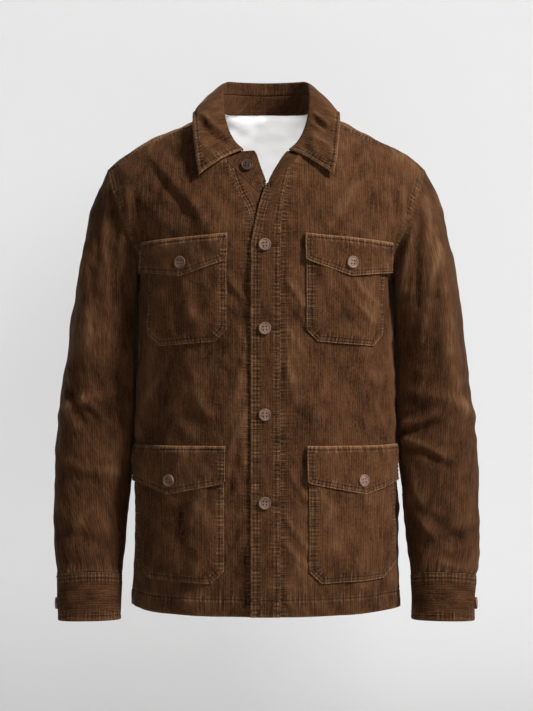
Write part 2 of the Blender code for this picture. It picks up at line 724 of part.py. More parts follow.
def band_surface(side, rows, lift):
    """Surface of a front band: u from its seam to its free edge, v from the hem up."""
    knots = [row.seam_z for row in rows]
    free_x = smooth_curve(knots, [row.free_x for row in rows])
    free_z = smooth_curve(knots, [row.free_z for row in rows])
    turn_in = smooth_curve(knots, [row.turn_in for row in rows])
    panel = front_surface(side, False)

    def surface(u, v):
        u, v = np.broadcast_arrays(np.asarray(u, float), np.asarray(v, float))
        seam = panel(0.0, v * CORNER_SHARE)
        seam_x = seam[..., 0] - side * 1.5 * SEAM_GAP
        x = seam_x * (1 - u) + free_x(seam[..., 2]) * u
        z = seam[..., 2] * (1 - u) + free_z(seam[..., 2]) * u
        settle = smooth_step((seam[..., 2] - BAND_SETTLES_FROM_Z) / (knots[-1] - BAND_SETTLES_FROM_Z))
        y = form_depth(np.abs(x), z) - lift * (1 - settle) + turn_in(seam[..., 2]) * u ** 1.5
        return np.stack([x, y, z], axis=-1)

    return surface


FORWARD = np.array([0, -1.0, 0])
BANDS = {
    -1: ("placket_right", BUTTON_BAND, 0.0, CLOTH),
    1: ("placket_left", BUTTONHOLE_BAND, BAND_LIFT + FACED_CLOTH, FACED_CLOTH),
}


def band_rows():
    """Heights of a band's rows, level with those of the front panel beside it."""
    rows = front_rows()
    return rows[rows <= CORNER_SHARE + 1e-9] / CORNER_SHARE


def build_bands():
    """The button band on the right front and the buttonhole band on the left front."""
    u, v = np.meshgrid(np.linspace(0, 1, BAND_STEPS + 1), band_rows())
    for side, (name, rows, lift, thickness) in BANDS.items():
        surface = band_surface(side, rows, lift)
        outer = surface(u, v)
        normals = surface_normals(surface, u, v, FORWARD)
        add_wall(name, outer, outer - thickness * normals, CORDUROY)


# ---- sleeves ------------------------------------------------------------------------

def armhole_loop(side, count=181):
    """The armhole as a closed loop from the shoulder's top round the front.

    Returns a function of the turn, in degrees with the front at 90 and the armpit at 180,
    that gives points, body normals and the directions in which the body's cloth leaves
    off; and the turns at which the body's own rows end on the loop.
    """
    v_front = np.linspace(1, CHEST_SHARE + 1e-6, count)
    v_back = np.linspace(BACK_CHEST_SHARE + 1e-6, 1, count)
    u_side = 0.0 if side < 0 else 1.0
    inward = 0.002 if side < 0 else -0.002
    parts = []
    for surface, normals_at, u, inner_u, v in (
            (front_surface(side, False), lambda u, v: front_normals(side, u, v), 1.0, 0.998, v_front),
            (plain_back, back_normals, u_side, u_side + inward, v_back)):
        points = surface(u, v)
        normals = normals_at(np.full_like(v, u), v)
        leaving = unit(points - surface(inner_u, v))
        parts.append((points, normals, leaving))
    points, normals, leaving = (np.vstack(pair) for pair in zip(*parts))
    lengths = np.linalg.norm(np.diff(np.vstack([points, points[:1]]), axis=0), axis=1)
    run = np.concatenate([[0], np.cumsum(lengths)])
    armpit = count - 1
    top = int(np.argmax(points[:, 2]))
    # Turns run from the top, backwards over the seam's end at the loop's first point.
    turns = np.interp(run, [0, run[armpit], run[top], run[-1]],
                      [360 * (run[-1] - run[top]) / run[-1], 180, 360,
                       360 + 360 * (run[-1] - run[top]) / run[-1]])
    front_turns = np.interp(front_rows()[LOW_STEPS:], v_front[::-1], turns[:count][::-1])
    back_turns = np.interp(back_grid()[1][LOW_STEPS + 1:-1, 0], v_back, turns[count:2 * count]) % 360
    ends = np.sort(np.concatenate([front_turns, back_turns]))

    def at(turn):
        turn = (np.asarray(turn, float) - turns[0]) % 360 + turns[0]
        values = []
        for data in (points, normals, leaving):
            closed = np.vstack([data, data[:1]])
            values.append(np.stack([np.interp(turn, turns, closed[:, k]) for k in range(3)], axis=-1))
        return values[0], unit(values[1]), unit(values[2])

    return at, ends


def ring_curves(rings):
    """Centre, half width and half depth of a tube as functions of its height."""
    order = sorted(rings, key=lambda ring: ring.z)
    return {name: smooth_curve([ring.z for ring in order], [getattr(ring, name) for ring in order])
            for name in ("x", "y", "across", "depth")}


def tube_point(curves, side, turn, z, proud=0.0):
    """Point of a tube at a turn from its outer line towards the front, on the ring at z."""
    step = 0.004
    centre = np.stack([curves["x"](z), curves["y"](z), z], axis=-1)
    ahead = np.stack([curves["x"](z - step), curves["y"](z - step), z - step], axis=-1)
    behind = np.stack([curves["x"](z + step), curves["y"](z + step), z + step], axis=-1)
    axis = unit(ahead - behind)
    front = unit(np.array([0, -1.0, 0]) - axis * (-axis[..., 1:2]))
    out = np.cross(front, axis)
    out = out * np.sign(out[..., 0:1])
    radians = np.radians(turn)
    power = 2 / SLEEVE_SQUARENESS
    cosine = np.sign(np.cos(radians)) * np.abs(np.cos(radians)) ** power
    sine = np.sign(np.sin(radians)) * np.abs(np.sin(radians)) ** power
    across = ((curves["across"](z) + proud) * cosine)[..., None]
    depth = ((curves["depth"](z) + proud) * sine)[..., None]
    points = centre + out * across + front * depth
    return points * np.array([side, 1, 1])


def underarm_share(turn):
    """1 at the armpit, where the sleeve folds back along the body, and 0 over the shoulder."""
    near, far = UNDERARM_TURNS
    return smooth_step((far - np.abs(turn % 360 - 180)) / (far - near))


pressed_gap = smooth_curve([row.z for row in PRESSED], [row.gap for row in PRESSED])


def pressed(points, side):
    """Points of a sleeve kept outside the body's widest line, a clearance away from it."""
    z = points[..., 2]
    reach = np.abs(points[..., 0])
    limit = half_width_at(z) + pressed_gap(z)
    blend = smooth_step((CHEST_Z - z) / 0.010)
    kept = np.maximum(reach, limit * blend + reach * (1 - blend))
    return np.stack([side * kept, points[..., 1], z], axis=-1)


def sleeve_fold_height(turn, share):
    """Sum of a sleeve's folds."""
    height = np.zeros(turn.shape)
    for fold in SLEEVE_FOLDS:
        across = SLEEVE_RADIUS * np.radians((turn - fold.turn0 + 180) % 360 - 180)
        along = SLEEVE_LENGTH * (share - fold.along0)
        run = np.array([SLEEVE_RADIUS * math.radians(fold.turn1 - fold.turn0),
                        SLEEVE_LENGTH * (fold.along1 - fold.along0)])
        length = np.hypot(*run)
        forward = (across * run[0] + along * run[1]) / length
        sideways = (across * run[1] - along * run[0]) / length
        past = np.maximum(0, np.abs(forward - length / 2) - length / 2)
        height += fold.depth * bump(sideways, fold.width) * bump(past, 1.6 * fold.width)
    return height * np.clip(share * 12, 0, 1)


def sleeve_surface(side, with_folds=True):
    """Surface of a sleeve: turn in degrees, share from the armhole to the cuff seam."""
    loop, _ = armhole_loop(side)
    curves = ring_curves(SLEEVE_RINGS + CUFF_RINGS)
    top_z = SLEEVE_RINGS[0].z
    end_z = SLEEVE_RINGS[-1].z

    def surface(turn, share):
        turn, share = np.broadcast_arrays(np.asarray(turn, float), np.asarray(share, float))
        start, body_normal, leaving = loop(turn)
        under = underarm_share(turn)[..., None]
        start = start + leaving * (1.3 * SEAM_GAP * (1 - under)) + body_normal * (UNDERARM_GAP * under)
        low_z = top_z + (end_z - top_z) * np.clip((share - CAP_SHARE) / (1 - CAP_SHARE), 0, 1)
        low = tube_point(curves, side, turn, low_z)
        ring = tube_point(curves, side, turn, np.full_like(share, top_z))
        below = tube_point(curves, side, turn, np.full_like(share, top_z - 0.01))
        t = np.clip(share / CAP_SHARE, 0, 1)[..., None]
        reach = np.linalg.norm(ring - start, axis=-1, keepdims=True)
        top_part = np.clip(np.cos(np.radians(turn)), 0, 1)[..., None] ** 0.7
        away = np.array([side * 1.0, 0, 0]) * (0.12 + (CAP_LEAN - 0.12) * top_part)
        leave = unit(away + np.array([0, 0, -1.0])) * reach
        arrive = unit(below - ring) * reach
        cap = ((2 * t ** 3 - 3 * t ** 2 + 1) * start + (t ** 3 - 2 * t ** 2 + t) * leave
               + (3 * t ** 2 - 2 * t ** 3) * ring + (t ** 3 - t ** 2) * arrive)
        points = np.where(share[..., None] < CAP_SHARE, cap, low)
        if with_folds:
            away = np.zeros_like(points)
            away[..., 0] = points[..., 0] - side * curves["x"](points[..., 2])
            away[..., 1] = points[..., 1] - curves["y"](points[..., 2])
            points = points + unit(away) * sleeve_fold_height(turn, share)[..., None]
        return pressed(points, side)

    return surface


def tube_normals(surface, turn, share, side, curves):
    """Outward normals of a tube given by turn and share."""
    above, below = np.clip(share - SHARE_STEP, 0, 1), np.clip(share + SHARE_STEP, 0, 1)
    along_turn = surface(turn + TURN_STEP, share) - surface(turn - TURN_STEP, share)
    along = surface(turn, below) - surface(turn, above)
    normals = unit(np.cross(along_turn, along))
    points = surface(turn, share)
    outward = points - np.stack([side * curves["x"](points[..., 2]), curves["y"](points[..., 2]),
                                 points[..., 2]], axis=-1)
    turned = np.sum(normals * outward, axis=-1, keepdims=True) < 0
    return np.where(turned, -normals, normals)


def build_sleeves():
    """Sleeves and cuffs."""
    curves = ring_curves(SLEEVE_RINGS + CUFF_RINGS)
    cuff_top = SLEEVE_RINGS[-1].z - CUFF_GAP
    cuff_low = CUFF_RINGS[-1].z
    for side, end in ((-1, "right"), (1, "left")):
        loop, turns = armhole_loop(side)
        surface = sleeve_surface(side)
        turn, share = np.meshgrid(turns, np.linspace(0, 1, SLEEVE_STEPS + 1))
        outer = surface(turn, share)
        normals = tube_normals(sleeve_surface(side, False), turn, share, side, curves)
        # Over the shoulder both rims are cut along the body's normals, so that they stay apart.
        under = underarm_share(turns)[:, None]
        normals[0] = unit(loop(turns)[1] * (1 - under) + normals[1] * under)
        add_wall("sleeve_" + end, outer, outer - CLOTH * normals, CORDUROY, closed=True)

        def cuff(turn, share, side=side):
            z = cuff_top + (cuff_low - cuff_top) * np.clip(share, 0, 1)
            return tube_point(curves, side, turn, z, CUFF_PROUD)

        turn, share = np.meshgrid(turns, np.linspace(0, 1, CUFF_STEPS + 1))
        outer = cuff(turn, share)
        normals = tube_normals(cuff, turn, share, side, curves)
        add_wall("cuff_" + end, outer, outer - FACED_CLOTH * normals, CORDUROY, closed=True)


# ---- collar -------------------------------------------------------------------------

def neck_turn(points):
    """Degrees about the neck's axis, from the centre back to either side of the front."""
    return np.degrees(np.arctan2(np.abs(points[..., 0]), points[..., 1] - NECK_AXIS_Y))


def neck_seam():
    """Every point where the stand meets the panels, from its right end to its left end.

    Returns the points and the panels' outward normals there.
    """
    parts = {}
    for side, (_, rows, lift, _) in BANDS.items():
        band = band_surface(side, rows, lift)
        places = np.linspace(1, 0, BAND_STEPS + 1)[:-1]
        parts["band", side] = (band(places, 1.0),
                               surface_normals(band, places, np.ones_like(places), FORWARD))
        neck_rows = front_rows()[LOW_STEPS + FRONT_EDGE_STEPS + len(ARMPIT_SPLIT):-1]
        start = np.zeros_like(neck_rows)
        parts["front", side] = front_surface(side)(start, neck_rows), front_normals(side, start, neck_rows)
    half = BACK_NECK_STEPS / (2 * (BACK_NECK_STEPS + PANEL_STEPS))
    columns = np.linspace(0.5 - half, 0.5 + half, 2 * BACK_NECK_STEPS + 1)
    top = np.ones_like(columns)
    back = (back_surface(columns, top), back_normals(columns, top))
    order = [parts["band", -1], parts["front", -1], back,
             [data[::-1] for data in parts["front", 1]], [data[::-1] for data in parts["band", 1]]]
    return [np.vstack(data) for data in zip(*order)]


def collar_curve(rows, column):
    """A column of the collar's rows as a smooth function of the turn."""
    turns = [row.turn for row in rows]
    axes = [smooth_curve(turns, [getattr(row, column)[k] for row in rows]) for k in range(3)]

    def value(turn, side):
        points = np.stack([axis(turn) for axis in axes], axis=-1)
        return points * np.stack([side, np.ones_like(side), np.ones_like(side)], axis=-1)

    return value


def build_collar():
    """The stand, which carries the neck button, and the fall, which turns over outside it."""
    seam, seam_normals = neck_seam()
    turn = neck_turn(seam)
    # The left end of the stand crosses the centre line, but still belongs to the left.
    middle = BAND_STEPS + FRONT_NECK_STEPS + BACK_NECK_STEPS
    side = np.where(np.arange(len(seam)) < middle, -1.0, 1.0)
    right = collar_curve(FALL_HALF + STAND_RIGHT_END, "top")(turn, side)
    left = collar_curve(FALL_HALF + STAND_LEFT_END, "top")(turn, side)
    top = np.where(side[:, None] < 0, right, left)
    leaving = unit(np.cross(seam_normals, np.gradient(seam, axis=0)))
    leaving = np.where(np.sum(leaving * (top - seam), axis=-1, keepdims=True) < 0, -leaving, leaving)
    base = seam + leaving * 2 * SEAM_GAP
    levels = np.linspace(0, 1, STAND_ROWS)
    outer = np.stack([base + (top - base) * level for level in levels])
    along = np.gradient(outer, axis=1)
    up = np.gradient(outer, axis=0)
    normals = unit(np.cross(along, up))
    outward = np.sum(normals * away_from_axis(outer), axis=-1, keepdims=True) < 0
    normals = np.where(outward, -normals, normals)
    normals[0] = seam_normals
    add_wall("collar_stand", outer, outer - FACED_CLOTH * normals, CORDUROY_DARK)
    row = STAND_ROWS // 2
    place = outer[row, 1] * (1 - NECK_BUTTON_SHARE) + outer[row, 2] * NECK_BUTTON_SHARE
    facing = unit(normals[row, 1] + normals[row, 2])
    add_button("button_neck", place + facing * NECK_BUTTON_CLEAR, facing)

    fall_turn = np.concatenate([np.linspace(FALL_HALF[-1].turn, 0, FALL_STEPS + 1),
                                np.linspace(0, FALL_HALF[-1].turn, FALL_STEPS + 1)[1:]])
    fall_side = np.where(np.arange(2 * FALL_STEPS + 1) < FALL_STEPS, -1.0, 1.0)
    start, roll, edge = (collar_curve(FALL_HALF, name)(fall_turn, fall_side)
                         for name in ("top", "roll", "edge"))
    out = unit(away_from_axis((start + edge) / 2))
    start = start - unit(away_from_axis(start)) * FACED_CLOTH / 2 + np.array([0, 0, FALL_START_RISE])
    crest = roll + out * FALL_CREST + (edge - roll) * CREST_SHARE
    belly = roll + out * FALL_BELLY + (edge - roll) * BELLY_SHARE
    rows = [start, (start + roll) / 2]
    for t in FALL_SHARES:
        rows.append((1 - t) ** 3 * roll + 3 * t * (1 - t) ** 2 * crest
                    + 3 * t ** 2 * (1 - t) * belly + t ** 3 * edge)
    middle_face = np.stack(rows)
    normals = unit(np.cross(np.gradient(middle_face, axis=1), np.gradient(middle_face, axis=0)))
    half = FACED_CLOTH / 2
    add_wall("collar_fall", middle_face + half * normals, middle_face - half * normals, CORDUROY)


# ---- pockets and flaps --------------------------------------------------------------

def front_normals_at(x, z, side):
    """Outward unit normals of the front, folds included, at signed x and height z."""
    along_x = front_point(x + STEP, z, side) - front_point(x - STEP, z, side)
    along_z = front_point(x, z + STEP, side) - front_point(x, z - STEP, side)
    normals = unit(np.cross(along_x, along_z))
    return np.where(normals[..., 1:2] > 0, -normals, normals)


def patch_wall(name, x, z, side, gap, thickness):
    """A wall lying on a front: x and z are grids, gap is how far it is moved out."""
    normals = front_normals_at(side * x, z, side)
    inner = front_point(side * x, z, side) + normals * gap[..., None]
    add_wall(name, inner + normals * thickness, inner, CORDUROY)


def across_places(inner_x, outer_x, z, count):
    """x places between two edges, evenly spaced round the body at height z."""
    fine = np.linspace(inner_x, outer_x, 200)
    depth = form_depth(fine, np.full_like(fine, z))
    run = np.concatenate([[0], np.cumsum(np.hypot(np.diff(fine), np.diff(depth)))])
    return np.interp(np.linspace(0, run[-1], count + 1), run, fine)


def build_pocket(pocket, side, name):
    """A patch pocket, narrowing over its last step down to cut its two lower corners."""
    middle_z = (pocket.top_in + pocket.low_in) / 2
    x = across_places(pocket.inner_x, pocket.outer_x, middle_z, POCKET_STEPS)
    share = (x - x[0]) / (x[-1] - x[0])
    cut = pocket.chamfer / (pocket.top_in - pocket.low_in)
    rows = np.concatenate([np.linspace(0, 1 - cut, POCKET_ROWS), [1]])
    share, row = np.meshgrid(share, rows)
    top = pocket.top_in + (pocket.top_out - pocket.top_in) * share
    low = pocket.low_in + (pocket.low_out - pocket.low_in) * share
    z = top + (low - top) * row
    squeeze = np.clip((row - (1 - cut)) / cut, 0, 1) * pocket.chamfer / (pocket.outer_x - pocket.inner_x)
    across = pocket.inner_x + (pocket.outer_x - pocket.inner_x) * (squeeze + share * (1 - 2 * squeeze))
    patch_wall(name, across, z, side, np.full_like(z, POCKET_GAP), POCKET_THICKNESS)


def build_flap(flap, side, name):
    """A flap that hangs to a point; it lies on the front at its seam and on its pocket below."""
    to_tip = across_places(flap.inner_x, flap.tip_x, flap.top_in, POCKET_STEPS // 2)
    from_tip = across_places(flap.tip_x, flap.outer_x, flap.top_in, POCKET_STEPS // 2)
    x = np.concatenate([to_tip, from_tip[1:]])
    top = np.interp(x, [flap.inner_x, flap.outer_x], [flap.top_in, flap.top_out])
    low = np.interp(x, [flap.inner_x, flap.inner_x + FLAP_CORNER, flap.tip_x, flap.outer_x],
                    [flap.low_in, flap.low_in - FLAP_CORNER_DROP, flap.tip_z, flap.low_out])
    row, top = np.meshgrid(FLAP_ROWS, top, indexing="ij")
    z = top + (low - top) * row
    gap = POCKET_GAP + (FLAP_GAP - POCKET_GAP) * smooth_step((top - z) / FLAP_RISE_LENGTH)
    patch_wall(name, np.broadcast_to(x, z.shape), z, side, gap, FACED_CLOTH)


def build_pockets():
    """The four patch pockets and the flaps over them."""
    for side, end in ((-1, "right"), (1, "left")):
        for pocket in POCKETS:
            build_pocket(pocket, side, f"{pocket.name}_{end}")
        for flap in FLAPS:
            build_flap(flap, side, f"{flap.name}_{end}")


# ---- buttons ------------------------------------------------------------------------

def add_button(name, place, normal):
    """A round button with a raised rim, its flat back towards the cloth."""
    radius = BUTTON_DIAMETER / 2
    normal = unit(np.asarray(normal, float))
    side = unit(np.cross(normal, [0, 0, 1.0]))
    up = np.cross(side, normal)
    base = np.asarray(place, float) + normal * BUTTON_GAP
    vertices = [base]
    rings = BUTTON_PROFILE[1:-1]
    for ring in rings:
        for k in range(BUTTON_SIDES):
            angle = 2 * math.pi * k / BUTTON_SIDES
            around = math.cos(angle) * side + math.sin(angle) * up
            vertices.append(base + radius * ring.radius * around + normal * ring.height * BUTTON_HEIGHT)
    vertices.append(base + normal * BUTTON_PROFILE[-1].height * BUTTON_HEIGHT)
    faces = []
    last = len(vertices) - 1
    for k in range(BUTTON_SIDES):
        j = (k + 1) % BUTTON_SIDES
        faces.append((0, 1 + j, 1 + k))
        for level in range(len(rings) - 1):
            a, b = 1 + level * BUTTON_SIDES + k, 1 + level * BUTTON_SIDES + j
            faces.append((a, b, b + BUTTON_SIDES))
            faces.append((a, b + BUTTON_SIDES, a + BUTTON_SIDES))
        top = 1 + (len(rings) - 1) * BUTTON_SIDES
        faces.append((top + k, top + j, last))
    vertices = np.array(vertices)
    if signed_volume(vertices, faces) < 0:
        faces = [face[::-1] for face in faces]
    add_object(name, vertices, faces, BUTTON_PLASTIC)


def build_buttons():
    """Front, flap and cuff buttons; the neck button is sewn to the stand."""
    for number, z in enumerate(FRONT_BUTTONS_Z, 1):
        y = float(form_depth(abs(FRONT_BUTTON_X), z)) - BAND_LIFT - FACED_CLOTH
        facing = front_normals_at(np.array(FRONT_BUTTON_X), np.array(z), 1) * np.array([0, 1, 1])
        add_button(f"button_front_{number}", (FRONT_BUTTON_X, y, z), facing)
    curves = ring_curves(SLEEVE_RINGS + CUFF_RINGS)
    cuff_z = np.array(CUFF_BUTTON_Z)
    for side, end in ((-1, "right"), (1, "left")):
        for name, (x, z) in (("breast", BREAST_BUTTON), ("lower", LOWER_BUTTON)):
            normal = front_normals_at(side * x, z, side)
            place = front_point(side * x, z, side) + normal * (FLAP_GAP + FACED_CLOTH)
            add_button(f"button_{name}_{end}", place, normal)
        place = tube_point(curves, side, np.array(CUFF_BUTTON_TURN), cuff_z, CUFF_PROUD)
        centre = np.array([side * float(curves["x"](cuff_z)), float(curves["y"](cuff_z)), CUFF_BUTTON_Z])
        add_button(f"button_cuff_{end}", place, place - centre)


# ---- build --------------------------------------------------------------------------

def clear_scene():
    """Removes what the file starts with."""
    for item in list(bpy.data.objects):
        bpy.data.objects.remove(item, do_unlink=True)


def main():
    """Builds every piece of the jacket."""
    clear_scene()
    build_fronts()
    build_back()
    build_bands()
    build_sleeves()
    build_collar()
    build_pockets()
    build_buttons()


main()
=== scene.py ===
"""Dresses a men's corduroy shirt jacket: waled cloth, seams, puckers, thread and buttons.

Metres, +Z up, the chest faces -Y and the wearer's right side is at -X.
"""

import logging
import math
from collections.abc import Callable, Iterator, Sequence
from contextlib import contextmanager
from dataclasses import dataclass, field
from enum import Enum
from typing import NamedTuple

import bpy
import numpy as np
from mathutils import Matrix, Vector


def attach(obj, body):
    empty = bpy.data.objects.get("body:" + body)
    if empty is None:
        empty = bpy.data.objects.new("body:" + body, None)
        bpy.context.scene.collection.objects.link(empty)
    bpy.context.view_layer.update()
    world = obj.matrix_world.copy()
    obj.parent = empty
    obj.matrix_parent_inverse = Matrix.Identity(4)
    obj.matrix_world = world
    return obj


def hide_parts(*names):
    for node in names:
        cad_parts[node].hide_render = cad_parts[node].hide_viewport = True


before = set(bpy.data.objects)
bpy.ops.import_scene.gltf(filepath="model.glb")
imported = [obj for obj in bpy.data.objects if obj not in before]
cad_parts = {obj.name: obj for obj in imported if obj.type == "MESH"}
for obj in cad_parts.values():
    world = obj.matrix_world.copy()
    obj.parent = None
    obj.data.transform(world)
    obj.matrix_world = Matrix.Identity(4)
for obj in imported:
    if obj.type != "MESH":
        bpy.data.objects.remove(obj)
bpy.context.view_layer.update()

log = logging.getLogger("jacket")
Array = np.ndarray
Curve = Callable[[Array], Array]
Surface = Callable[[Array, Array], Array]

CLOTH = 0.0018
FACED_CLOTH = 0.0024
SEAM_GAP = 0.0003
BAND_LIFT = 0.0009
STEP = 1e-4
SHARE_STEP = 1e-3


class Side(Enum):
    """The wearer's right and left, as the sign of x."""

    RIGHT = -1
    LEFT = 1

    @property
    def word(self) -> str:
        """The side's name as the pieces spell it."""
        return self.name.lower()


class Slot(Enum):
    """Material slots of the record."""

    CORDUROY = "corduroy"
    INSIDE = "corduroy_inside"
    BUTTON = "button"


class Lay(Enum):
    """How a sheet of cloth is held."""

    HUNG = "hung"
    LAID = "laid"
    FOLDED = "folded"


# ---- mathematics --------------------------------------------------------------------

def smooth_curve(knots: Sequence[float], values: Sequence[float]) -> Curve:
    """A monotone cubic through the knots, level outside them.

    Args:
        knots: rising places.
        values: the value at each place.

    Returns:
        A function of places.
    """
    x = np.asarray(knots, float)
    y = np.asarray(values, float)
    step = np.diff(x)
    slope = np.diff(y) / step
    tangent = np.zeros_like(y)
    tangent[0], tangent[-1] = slope[0], slope[-1]
    for i in range(1, len(x) - 1):
        if slope[i - 1] * slope[i] > 0:
            w0 = 2 * step[i] + step[i - 1]
            w1 = step[i] + 2 * step[i - 1]
            tangent[i] = (w0 + w1) / (w0 / slope[i - 1] + w1 / slope[i])

    def value(t: Array) -> Array:
        """Value of the curve at t."""
        t = np.clip(np.asarray(t, float), x[0], x[-1])
        i = np.clip(np.searchsorted(x, t, side="right") - 1, 0, len(x) - 2)
        q = (t - x[i]) / step[i]
        rise = y[i] * (1 + 2 * q) * (1 - q) ** 2 + y[i + 1] * q ** 2 * (3 - 2 * q)
        return rise + step[i] * (tangent[i] * q * (1 - q) ** 2 - tangent[i + 1] * q ** 2 * (1 - q))

    return value


def unit(vectors: Array) -> Array:
    """Vectors scaled to length one."""
    return vectors / np.maximum(np.linalg.norm(vectors, axis=-1, keepdims=True), 1e-12)


def smooth_step(t: Array) -> Array:
    """Eases from 0 to 1."""
    t = np.clip(t, 0, 1)
    return t * t * (3 - 2 * t)


def bump(across: Array, half_width: float) -> Array:
    """A soft hill, 1 at 0 and 0 from about twice the half width outwards."""
    return np.exp(-(across / half_width) ** 2)


def away_from_axis(points: Array) -> Array:
    """Horizontal vectors away from the upright axis through the origin."""
    return points * np.array([1, 1, 0])


def surface_normals(surface: Surface, u: Array, v: Array, outward: Array) -> Array:
    """Unit normals of a surface of two shares, turned to the side of the outward vectors."""
    along_u = surface(np.clip(u + SHARE_STEP, 0, 1), v) - surface(np.clip(u - SHARE_STEP, 0, 1), v)
    along_v = surface(u, np.clip(v + SHARE_STEP, 0, 1)) - surface(u, np.clip(v - SHARE_STEP, 0, 1))
    normals = unit(np.cross(along_u, along_v))
    turned = np.sum(normals * outward, axis=-1, keepdims=True) < 0
    return np.where(turned, -normals, normals)


def run_of(points: Array) -> Array:
    """Length along a line of points, from 0 at its first."""
    steps = np.linalg.norm(np.diff(points, axis=0), axis=-1)
    return np.concatenate([[0], np.cumsum(steps)])


def grid_shares(lines: Callable[[Array], Array], step: float, rims: Sequence[float] = ()) -> Array:
    """Shares from 0 to 1 for a grid's rows or columns.

    Args:
        lines: gives, for a line of shares, points as lines x shares x 3.
        step: the furthest that neighbours may be apart on any of the lines.
        rims: further places, as distances in from both ends.

    Returns:
        The shares in rising order.
    """
    fine = np.linspace(0, 1, 1201)
    speed = np.max(np.linalg.norm(np.diff(lines(fine), axis=1), axis=-1), axis=0)
    run = np.concatenate([[0], np.cumsum(speed)])
    rims = np.array(list(rims) or [0.0])
    inner = run[-1] - 2 * rims[-1]
    middle = np.linspace(rims[-1], run[-1] - rims[-1], max(2, math.ceil(inner / step) + 1))
    marks = np.unique(np.concatenate([[0], rims, middle, run[-1] - rims, [run[-1]]]))
    return np.interp(marks, run, fine)


def three_sides(grid: Array) -> Array:
    """The line down a grid's first column, along its last row and back up its last column."""
    return np.vstack([grid[:, 0], grid[-1], grid[::-1, -1]])


def tube_ends(grid: Array) -> list[Array]:
    """The first and last row of a tube's grid as closed lines."""
    return [np.vstack([row, row[:1]]) for row in (grid[0], grid[-1])]


def cells(grid: Array) -> Array:
    """The four corners of every cell of a grid."""
    corners = np.stack([grid[:-1, :-1], grid[:-1, 1:], grid[1:, 1:], grid[1:, :-1]], axis=2)
    return corners.reshape(-1, *corners.shape[2:])


def pair(u: Array | float, v: Array | float) -> tuple[Array, Array]:
    """Two values as arrays of one shape."""
    return np.broadcast_arrays(np.asarray(u, float), np.asarray(v, float))


def nearest(line: Array, points: Array, spacing: float = 0.001) -> tuple[Array, Array]:
    """Distance of points from a line, and how far along the line the nearest place is."""
    run = run_of(line)
    marks = np.linspace(0, run[-1], max(2, int(run[-1] / spacing)))
    fine = np.stack([np.interp(marks, run, line[:, k]) for k in range(3)], axis=-1)
    flat = points.reshape(-1, 3)
    gaps = np.empty(len(flat))
    places = np.empty(len(flat))
    size = np.sum(fine ** 2, axis=1)
    for start in range(0, len(flat), 4000):
        part = flat[start:start + 4000]
        squares = size - 2 * part @ fine.T + np.sum(part ** 2, axis=1)[:, None]
        index = np.argmin(squares, axis=1)
        gaps[start:start + 4000] = np.linalg.norm(part - fine[index], axis=1)
        places[start:start + 4000] = marks[index]
    return gaps.reshape(points.shape[:-1]), places.reshape(points.shape[:-1])


def ripple(run: Array, pitch: float, seed: int) -> Array:
    """Uneven ripples along a seam, from -1 to 1, about a pitch apart."""
    dice = np.random.default_rng(seed)
    total = np.zeros(np.shape(run))
    for _ in range(6):
        total += np.sin(2 * math.pi * run / (pitch * dice.uniform(0.72, 1.5)) + dice.uniform(0, 6.3))
    swing = 0.7 + 0.3 * np.sin(2 * math.pi * run / (pitch * dice.uniform(6, 9)) + dice.uniform(0, 6.3))
    return np.clip(total / 2.3, -1, 1) * swing


class Crease(NamedTuple):
    """A soft trough (height < 0) or ridge from x0, z0 to x1, z1, bowed sideways."""

    x0: float
    z0: float
    x1: float
    z1: float
    width: float
    height: float
    bow: float = 0.0


Creases = tuple[Crease, ...]


def crease_rows(*rows: tuple[float, ...]) -> Creases:
    """Creases from rows of their values in millimetres."""
    return tuple(Crease(*(value / 1000 for value in row)) for row in rows)


def crease_height(x: Array, z: Array, creases: Creases) -> Array:
    """Sum of creases at the points x, z."""
    total = np.zeros(np.broadcast(x, z).shape)
    for crease in creases:
        run = np.array([crease.x1 - crease.x0, crease.z1 - crease.z0])
        length = np.hypot(*run)
        along = ((x - crease.x0) * run[0] + (z - crease.z0) * run[1]) / length
        across = ((x - crease.x0) * run[1] - (z - crease.z0) * run[0]) / length
        across = across - crease.bow * np.clip(1 - (2 * along / length - 1) ** 2, 0, 1)
        past = np.maximum(0, np.abs(along - length / 2) - length / 2)
        total += crease.height * bump(across, crease.width) * bump(past, 1.6 * crease.width)
    return total


@dataclass(frozen=True)
class Unevenness:
    """Soft unevenness of hanging cloth: a seeded sum of waves of place, mostly upright ones."""

    seed: int
    height: float
    shortest: float
    longest: float
    upright: float = 0.4
    count: int = 16

    def at(self, points: Array) -> Array:
        """Height at points."""
        dice = np.random.default_rng(self.seed)
        total = np.zeros(points.shape[:-1])
        for _ in range(self.count):
            direction = dice.normal(size=3) * (1, 1, self.upright)
            direction /= np.linalg.norm(direction)
            length = dice.uniform(self.shortest, self.longest)
            total += np.sin(points @ direction * 2 * math.pi / length + dice.uniform(0, 6.3))
        return self.height * total / math.sqrt(self.count / 2)


# ---- finishes -----------------------------------------------------------------------

Colour = tuple[float, float, float]


